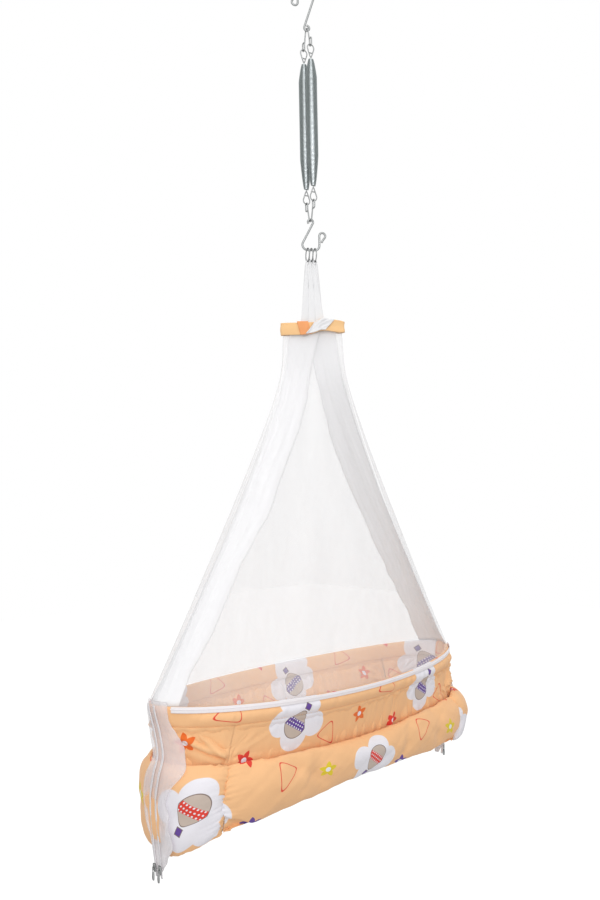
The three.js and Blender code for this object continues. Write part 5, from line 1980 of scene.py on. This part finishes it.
def cover_centre(edge, material):
    """A closed disc of cloth that fills the hole in the middle of the base cover."""
    middle = edge.mean(axis=0)
    rows = np.array([mix(middle, edge, share) for share in (1, 0.5, 0.02)])
    rise = np.array([0, 0, COVER_SHEET / 2])
    sections = np.concatenate([rows[::-1] + rise, rows - rise])
    return loft("cover_centre", sections, closed_uv(sections), material=material)


class CRADLE_OT_base(bpy.types.Operator):
    """Covers the board from below with a cotton sheet and gives the board its finish"""
    bl_idname = "cradle.base"
    bl_label = "Base"

    def execute(self, context):
        cover_top, _ = base_levels()
        shares = np.linspace(1, COVER_HOLE, 40)
        rows = np.zeros((40, 200, 3))
        rows[..., :2] = base_oval(COVER_INSET, 200)[None] * shares[:, None, None]
        rucks = wave_noise(rows[..., 0] / 0.14 + rows[..., 1] / 0.2, 50, 3)
        loose = smooth_step((1 - shares) / 0.2)[:, None]
        rows[..., 2] = cover_top - COVER_THICK / 2 - (COVER_SAG + COVER_RUCK * rucks) * loose
        sheet = sheet_piece("cotton_base_cover", rows, COVER_SHEET, closed_uv(rows), printed_cotton(), True)
        piece = joined("cotton_base_cover", [sheet, cover_centre(rows[-1], printed_cotton())])
        hold(piece, "cradle", "peach_cotton", "base_cover")
        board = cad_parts["base_board"]
        board.data.materials.clear()
        board.data.materials.append(hardboard())
        return {"FINISHED"}


# Zips, strips, sliders and pull tabs
TAPE_ENDS = -0.12
TAPE_STAND = SEAT_GAP + ZIP_TAPE_THICK / 2 + 0.0004
TAPE_SHEET = 0.0008
TEETH_STAND, TEETH_DROP = 0.0006, 0.0028
SEWING_STAND, SEWING_DROP = 0.0004, 0.0068
TOOTH_SIZE = (0.0019, 0.0026, 0.0013)
CLOTH_SHEET = 0.0007
STRIP_REAR = [0.03, 0.026, 0.018, 0.024, 0.027, 0.02, 0.013, 0.012, 0.009]
STRIP_FRONT = [0.026, 0.024, 0.03, 0.032, 0.028, 0.028, 0.034, 0.036, 0.022]
STRIP_WANDER = 0.016
STRIP_TOP = 0.006
STRIP_TOP_IN = 0.004
STRIP_EDGE = 0.07
STRIP_RUCK = 0.0012
STRIP_BUNCH = 0.007
STRIP_SHORT = 0.1
STRIP_LEAST = 0.0115
SLIDER_LANE = (ZIP_SPACING + SLIDER_WIDTH) / 2 + 0.0005
ZIP_STAND = STRIP_THICK / 2 + SEAT_GAP + ZIP_THICK / 2
SLIDER_STAND = ZIP_STAND + ZIP_THICK / 2 + SEAT_GAP
TAB_ROUND = 0.00028
TAB_CORNER = 0.001
TAB_STEPS = 48


class CRADLE_OT_rim_zip(bpy.types.Operator):
    """Sews the long zip along the front of the rim"""
    bl_idname = "cradle.rim_zip"
    bl_label = "Rim zip"

    def execute(self, context):
        zips = context.scene.cradle_zips
        ends = STRIP_HALF_ANGLE + TAPE_ENDS
        angles = np.linspace(math.pi + ends, 2 * math.pi - ends, 320)
        drops = np.linspace(-ZIP_TAPE_STAND, TAPE_DROP, 9)
        lift = 0.0003 * wave_noise(around(angles)[None, :] / 0.035, 33, 3) * np.linspace(1, 0.2, 9)[:, None]
        rows = tub_point(angles[None, :], TAPE_STAND + lift, drops[:, None])
        cotton = zip_tape_cloth()
        parts = [sheet_piece("rim_zip_tape", rows, TAPE_SHEET, cloth_uv(rows), cotton)]
        for row, rise, drop, pitch, size in (
            ("teeth", TEETH_STAND, TEETH_DROP, zips.pitch, TOOTH_SIZE),
            ("stitches", SEWING_STAND, SEWING_DROP, zips.stitch, STITCH_SIZE),
        ):
            parts.append(tub_row(row, angles, TAPE_STAND + rise, drop, pitch, size, cotton))
        piece = joined("rim_zip_tape", parts)
        hold(piece, "cradle", "zip_nylon", "front_zip_tape")
        return {"FINISHED"}


def strip_profile(end):
    """The sheer strip's middle profile over hem and end bolster, as [out, drop] pairs evenly apart."""
    hug = STRIP_GAP + STRIP_THICK / 2
    crown = end["swell"] + STRIP_STAND
    tip = end["tip"]
    return np.array([
        [hug, -ZIP_TAPE_STAND],
        [hug, HEM_HEIGHT],
        [mix(hug, crown, STRIP_SHOULDER[0]), STRIP_SHOULDER[1]],
        [mix(hug, crown, STRIP_SWELL[0]), STRIP_SWELL[1]],
        [crown, STRIP_CROWN_TOP],
        *([mix(crown, STRIP_TIP_OUT, share), mix(STRIP_CROWN_DROP, tip, share)]
          for share in (0, 1 / 3, 2 / 3, 1)),
    ])


def strip_wander(drop):
    """How far the strip and its zips sway towards the front between the rim and the slider's straight run."""
    return STRIP_WANDER * np.sin(math.pi * clamp(drop / STRIP_CROWN_DROP)) ** 2


def even_profile(end, count):
    """The profile with many points, the strip's rear and front widths there, and the share of its run."""
    profile = strip_profile(end)
    lengths = run_lengths(profile)
    at = np.linspace(0, lengths[-1], count)
    widths = np.stack([STRIP_REAR, STRIP_FRONT], -1)
    many, wide = (eased(resampled(values, lengths, at), 24) for values in (profile, widths))
    return many, wide, at / lengths[-1]


class CRADLE_OT_strips(bpy.types.Operator):
    """Drapes the sheer strips down over the tub's two ends"""
    bl_idname = "cradle.strips"
    bl_label = "End strips"

    def execute(self, context):
        net = context.scene.cradle_net
        cloth = sheer_cloth("strip_net", net.strip, net.strip_cover, (0.13, 0.24, 0.8))
        across = np.linspace(-1, 1, 56)[None, :]
        for seed, (name, end) in enumerate(ENDS.items()):
            profile, widths, share = even_profile(end, 110)
            down = share[:, None]
            width = np.where(across < 0, widths[:, :1], np.maximum(STRIP_LEAST, end["front"] * widths[:, 1:]))
            edge = 1 + STRIP_EDGE * wave_noise(down * 4, 90 + seed, 3)
            beside = across * width * edge + strip_wander(profile[:, 1:])
            profile = resampled(profile, share, down * (1 - STRIP_SHORT * clamp(across)))
            half_width = mix(RIM_HALF_WIDTH, BASE_HALF_WIDTH, clamp(profile[..., 1] / WALL_HEIGHT))
            turns = end["turn"] - end["sign"] * beside / half_width
            bunched = smooth_step((down - 0.5) / 0.3) * smooth_step((1 - down) / 0.08)
            shift = 0.5 * wave_noise(down * 2, 93 + seed, 2)
            rucks = 0.5 + 0.5 * wave_noise(across * 1.4 + shift, 95 + seed, 3)
            off_zips = smooth_step((np.abs(across) * width - SLIDER_LANE) / 0.003)
            sides = smooth_step((np.abs(across) - 0.25) / 0.3) * off_zips
            out = profile[..., 0] + (STRIP_BUNCH * bunched + STRIP_RUCK) * rucks * sides
            top = 1 - smooth_step(down / 0.04)
            rows = tub_point(turns, out - STRIP_TOP_IN * top, profile[..., 1] - STRIP_TOP * top)
            piece = sheet_piece(f"{name}_sheer_strip", rows, CLOTH_SHEET, cloth_uv(rows), cloth)
            hold(piece, "cradle", "sheer_net", f"{name}_end_strip")
        return {"FINISHED"}


def outset(profile, distance):
    """An [out, drop] profile moved outwards, square to itself."""
    way = unit(np.gradient(profile, axis=0))
    return profile + np.stack([way[:, 1], -way[:, 0]], -1) * distance


def end_point(end, across, out, drop):
    """A place on the middle line of the tub's end, moved across it."""
    across, out, drop = together(across, out, drop)
    place, _ = wall_plan(np.full(drop.shape, end["turn"]), drop)
    return np.stack([place[..., 0] + end["sign"] * out, across, RIM_Z - drop], -1)


class CRADLE_OT_end_zips(bpy.types.Operator):
    """Sews the zips down the end strips, each with its row of teeth"""
    bl_idname = "cradle.end_zips"
    bl_label = "End zips"

    def execute(self, context):
        zips = context.scene.cradle_zips
        nylon = plain_cotton("teeth_nylon", zips.teeth, 0.1)
        for name, (side, across) in ZIPS.items():
            end = ENDS[side]
            profile, _, _ = even_profile(end, 150)
            line = outset(profile, ZIP_STAND)
            middle = across - strip_wander(profile[:, 1])
            beside = middle[:, None] + np.linspace(-0.5, 0.5, 7)[None, :] * ZIP_TAPE_WIDTH
            rows = end_point(end, beside, line[:, :1], line[:, 1:])
            tape = sheet_piece(f"{name}_zip_row", rows, CLOTH_SHEET, cloth_uv(rows), zip_tape_cloth())
            crest, above = (
                end_point(end, middle, *outset(profile, ZIP_STAND + rise).T) for rise in (0.0005, 0.01)
            )
            teeth = bead_row("teeth", crest, unit(above - crest), zips.pitch, TOOTH_SIZE, nylon)
            piece = joined(f"{name}_zip_row", [tape, teeth])
            hold(piece, "cradle", "zip_nylon", f"{name}_zip")
        return {"FINISHED"}


def on_run(end, across, stand):
    """A frame at the slider's rest on the zip's straight run: local +X out of the fabric, local +Z up it."""
    run_out = end["swell"] + STRIP_STAND - STRIP_TIP_OUT
    tilt = math.atan2(run_out, end["tip"] - STRIP_CROWN_DROP)
    place = Vector(end_point(end, across, STRIP_TIP_OUT, end["tip"]).tolist())
    place.x += end["sign"] * (SLIDER_REST * math.sin(tilt) + stand * math.cos(tilt))
    place.z += SLIDER_REST * math.cos(tilt) - stand * math.sin(tilt)
    yaw = 0 if end["sign"] > 0 else math.pi
    return Matrix.Translation(place) @ Matrix.Rotation(yaw, 4, "Z") @ Matrix.Rotation(tilt, 4, "Y")


def slider_piece(name, place):
    """A zip slider: a wedge-shaped body with a waist, and a bow for its pull tab."""
    sections = []
    for share in np.linspace(0, 1, 13):
        bulge = math.sin(math.pi * share)
        half = SLIDER_WIDTH / 2 * (0.6 + 0.28 * bulge**2 + 0.12 * share)
        oval = plan_point(full_turn(20, 0.5), SLIDER_THICK * (0.85 + 0.15 * bulge) / 2, half, 5)
        along = np.full(20, mix(-0.5, 0.5, share) * SLIDER_LENGTH)
        sections.append(np.stack([oval[:, 0] + SLIDER_THICK / 2, oval[:, 1], along], -1))
    body = loft(name + "_body", np.array(sections), material=steel())
    out, along = arc(0, 0, 1, 90, -90, 10).T
    path = np.stack([SLIDER_THICK - ARCH_WIRE / 2 + out * ARCH_RISE, 0 * out, along * ARCH_HALF_LENGTH], -1)
    feet = path[[0, -1]].copy()
    feet[:, 0] = SLIDER_THICK / 2
    path = eased(evened(np.vstack([feet[:1], path, feet[1:]]), 0.0003), 3)
    piece = joined(name, [body, wire_piece(name + "_bow", [path], [False], ARCH_WIRE, steel(), 10)])
    piece.data.transform(place)
    return piece


def tab_piece(name, hinge):
    """A pull tab with a window for the slider's bow, hanging plumb from its hinge."""
    half = TAB_WIDTH / 2
    low = -TAB_LENGTH + half
    centre = np.array([0, -(TAB_BAR + TAB_WINDOW) / 2])
    turns = full_turn(TAB_STEPS)
    window = centre + plan_point(turns, TAB_WINDOW_WIDTH / 2, TAB_WINDOW / 2, 4)
    waist = half * 0.82
    corner = (waist - TAB_CORNER, TAB_BAR / 2 - TAB_CORNER)
    ring = evened(np.vstack([
        arc(0, low, half, 180, 360, 12), [[waist, low * 0.45]], [[waist, -TAB_BAR]],
        arc(*corner, TAB_CORNER, 0, 90, 30), arc(-corner[0], corner[1], TAB_CORNER, 90, 180, 30),
        [[-waist, -TAB_BAR]], [[-waist, low * 0.45]],
    ]), 0.0002, True)
    bearing = np.arctan2(ring[:, 1] - centre[1], ring[:, 0] - centre[0]) % (2 * math.pi)
    order = np.argsort(bearing)
    outer = np.stack([
        np.interp(turns, bearing[order], ring[order, k], period=2 * math.pi) for k in range(2)
    ], -1)
    face, sunk = TAB_THICK / 2, TAB_THICK / 2 - TAB_ROUND
    side = [(window, sunk), (window + unit(window - centre) * TAB_ROUND, face),
            (outer - unit(outer - centre) * TAB_ROUND, face), (outer, sunk)]
    sections = np.array([
        np.stack([np.full(TAB_STEPS, across), edge[:, 0], edge[:, 1]], -1)
        for edge, across in [(edge, -across) for edge, across in side] + side[::-1]
    ])
    piece = loft(name, sections.transpose(1, 0, 2), looped=True, material=steel())
    piece.data.transform(Matrix.Translation(hinge))
    return piece


class CRADLE_OT_pulls(bpy.types.Operator):
    """Casts the zip sliders and their pull tabs"""
    bl_idname = "cradle.pulls"
    bl_label = "Sliders and pull tabs"

    def execute(self, context):
        stand = SLIDER_STAND + SLIDER_THICK + (ARCH_RISE - ARCH_WIRE) / 2
        for name, (side, across) in ZIPS.items():
            slider = slider_piece(f"{name}_cast_slider", on_run(ENDS[side], across, SLIDER_STAND))
            hold(slider, f"{name}_zip_slide", "steel", f"{name}_zip_slider")
            tab = tab_piece(f"{name}_pull_tab", on_run(ENDS[side], across, stand).translation)
            hold(tab, f"{name}_zip_tab", "steel", f"{name}_zip_pull")
        return {"FINISHED"}


# Camera, lamps, floor and background
def seen_share(tree):
    """1 for the rays that show the background: straight, mirrored and through glass."""
    path = node(tree, "ShaderNodeLightPath")
    share = math_node(tree, "ADD", path.outputs["Is Camera Ray"], path.outputs["Is Glossy Ray"])
    return math_node(tree, "ADD", share, path.outputs["Is Transmission Ray"], clamped=True)


def white_world(strength):
    world = bpy.data.worlds.new("studio")
    world.use_nodes = True
    tree = world.node_tree
    tree.nodes.clear()
    light = node(tree, "ShaderNodeBackground", {"Color": (1, 1, 1, 1), "Strength": strength})
    white = node(tree, "ShaderNodeBackground", {"Color": (1, 1, 1, 1), "Strength": 1.0})
    mixed = node(tree, "ShaderNodeMixShader", {0: seen_share(tree), 1: light.outputs[0], 2: white.outputs[0]})
    node(tree, "ShaderNodeOutputWorld", {"Surface": mixed.outputs[0]})
    bpy.context.scene.world = world


def floor_material(colour):
    """A pale floor that the camera sees nearly white, with the object's shadow on it."""
    material = bpy.data.materials.new("floor")
    material.use_nodes = True
    tree = material.node_tree
    tree.nodes.clear()
    pale = node(tree, "ShaderNodeBsdfDiffuse", {"Color": rgba(colour)})
    faint = node(tree, "ShaderNodeBsdfDiffuse", {"Color": (0.25, 0.25, 0.25, 1)})
    glow = node(tree, "ShaderNodeEmission", {"Color": (1, 1, 1, 1), "Strength": 0.88})
    both = node(tree, "ShaderNodeAddShader", {0: faint.outputs[0], 1: glow.outputs[0]})
    mixed = node(tree, "ShaderNodeMixShader", {0: seen_share(tree), 1: pale.outputs[0], 2: both.outputs[0]})
    node(tree, "ShaderNodeOutputMaterial", {"Surface": mixed.outputs[0]})
    return material


def add_lamp(name, power):
    size, place = LAMPS[name]
    lamp = bpy.data.lights.new(name, "AREA")
    lamp.energy, lamp.shape, lamp.size = power, "DISK", size
    holder = add_object(name, lamp)
    holder.location = place
    holder.rotation_euler = (Vector(LAMP_AIM) - Vector(place)).to_track_quat("-Z", "Y").to_euler()


def photograph_camera():
    """The camera fitted to the photograph."""
    azimuth, pitch, roll = (math.radians(turn) for turn in (CAMERA_AZIMUTH, CAMERA_PITCH, CAMERA_ROLL))
    yaw = math.radians(CAMERA_AZIMUTH + CAMERA_YAW_OFF)
    ahead = Vector((math.sin(yaw) * math.cos(pitch), math.cos(yaw) * math.cos(pitch), math.sin(pitch)))
    right = Vector((math.cos(yaw), -math.sin(yaw), 0))
    above = right.cross(ahead)
    turned_right = right * math.cos(roll) + above * math.sin(roll)
    turned_above = above * math.cos(roll) - right * math.sin(roll)
    place = Vector((-math.sin(azimuth), -math.cos(azimuth), 0)) * CAMERA_DISTANCE
    place.z = CAMERA_HEIGHT
    lens = bpy.data.cameras.new("photograph")
    lens.sensor_width = SENSOR
    lens.lens = FOCAL_PIXELS * SENSOR / IMAGE_HEIGHT
    lens.clip_start, lens.clip_end = 0.05, 50
    camera = add_object("photograph", lens)
    columns = Matrix((turned_right, turned_above, -ahead)).transposed()
    camera.matrix_world = Matrix.Translation(place) @ columns.to_4x4()
    bpy.context.scene.camera = camera


class CRADLE_OT_stage(bpy.types.Operator):
    """Sets up the camera, the soft lamps, the pale floor and the white background"""
    bl_idname = "cradle.stage"
    bl_label = "Stage"

    def execute(self, context):
        stage = context.scene.cradle_stage
        context.scene.view_settings.view_transform = "Standard"
        photograph_camera()
        white_world(stage.dome)
        add_lamp("key", stage.key)
        add_lamp("top", stage.top)
        signs = (-1, -1), (1, -1), (1, 1), (-1, 1)
        corners = [(x * FLOOR_HALF, y * FLOOR_HALF, -stage.floor_drop) for x, y in signs]
        mesh = bpy.data.meshes.new("floor")
        mesh.from_pydata(corners, [], [(0, 1, 2, 3)])
        mesh.materials.append(floor_material(stage.floor))
        add_object("floor", mesh)
        return {"FINISHED"}


GROUPS = {
    "cradle_wire": CradleWire,
    "cradle_cloth": CradleCloth,
    "cradle_net": CradleNet,
    "cradle_zips": CradleZips,
    "cradle_stage": CradleStage,
}
OPERATORS = [
    CRADLE_OT_stage,
    CRADLE_OT_hooks,
    CRADLE_OT_links,
    CRADLE_OT_eyes,
    CRADLE_OT_springs,
    CRADLE_OT_rings,
    CRADLE_OT_straps,
    CRADLE_OT_collar,
    CRADLE_OT_slings,
    CRADLE_OT_nets,
    CRADLE_OT_hems,
    CRADLE_OT_walls,
    CRADLE_OT_bolsters,
    CRADLE_OT_mattress,
    CRADLE_OT_base,
    CRADLE_OT_rim_zip,
    CRADLE_OT_strips,
    CRADLE_OT_end_zips,
    CRADLE_OT_pulls,
]


class CRADLE_PT_panel(bpy.types.Panel):
    """Lists the cradle's pieces and their sizes and colours"""
    bl_idname = "CRADLE_PT_panel"
    bl_label = "Hanging baby cradle"
    bl_space_type = "VIEW_3D"
    bl_region_type = "UI"
    bl_category = "Cradle"

    def draw(self, context):
        for name, group in GROUPS.items():
            box = self.layout.box()
            box.label(text=name.replace("_", " ").capitalize())
            for key in group.__annotations__:
                box.prop(getattr(context.scene, name), key)
        column = self.layout.column(align=True)
        for operator in OPERATORS:
            column.operator(operator.bl_idname)


def register():
    for name, group in GROUPS.items():
        bpy.utils.register_class(group)
        setattr(bpy.types.Scene, name, PointerProperty(type=group))
    for operator in OPERATORS:
        bpy.utils.register_class(operator)
    bpy.utils.register_class(CRADLE_PT_panel)


def unregister():
    bpy.utils.unregister_class(CRADLE_PT_panel)
    for operator in reversed(OPERATORS):
        bpy.utils.unregister_class(operator)
    for name, group in reversed(GROUPS.items()):
        delattr(bpy.types.Scene, name)
        bpy.utils.unregister_class(group)


def main():
    register()
    for operator in OPERATORS:
        group, call = operator.bl_idname.split(".")
        getattr(getattr(bpy.ops, group), call)()
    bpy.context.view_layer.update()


if __name__ == "__main__":
    main()
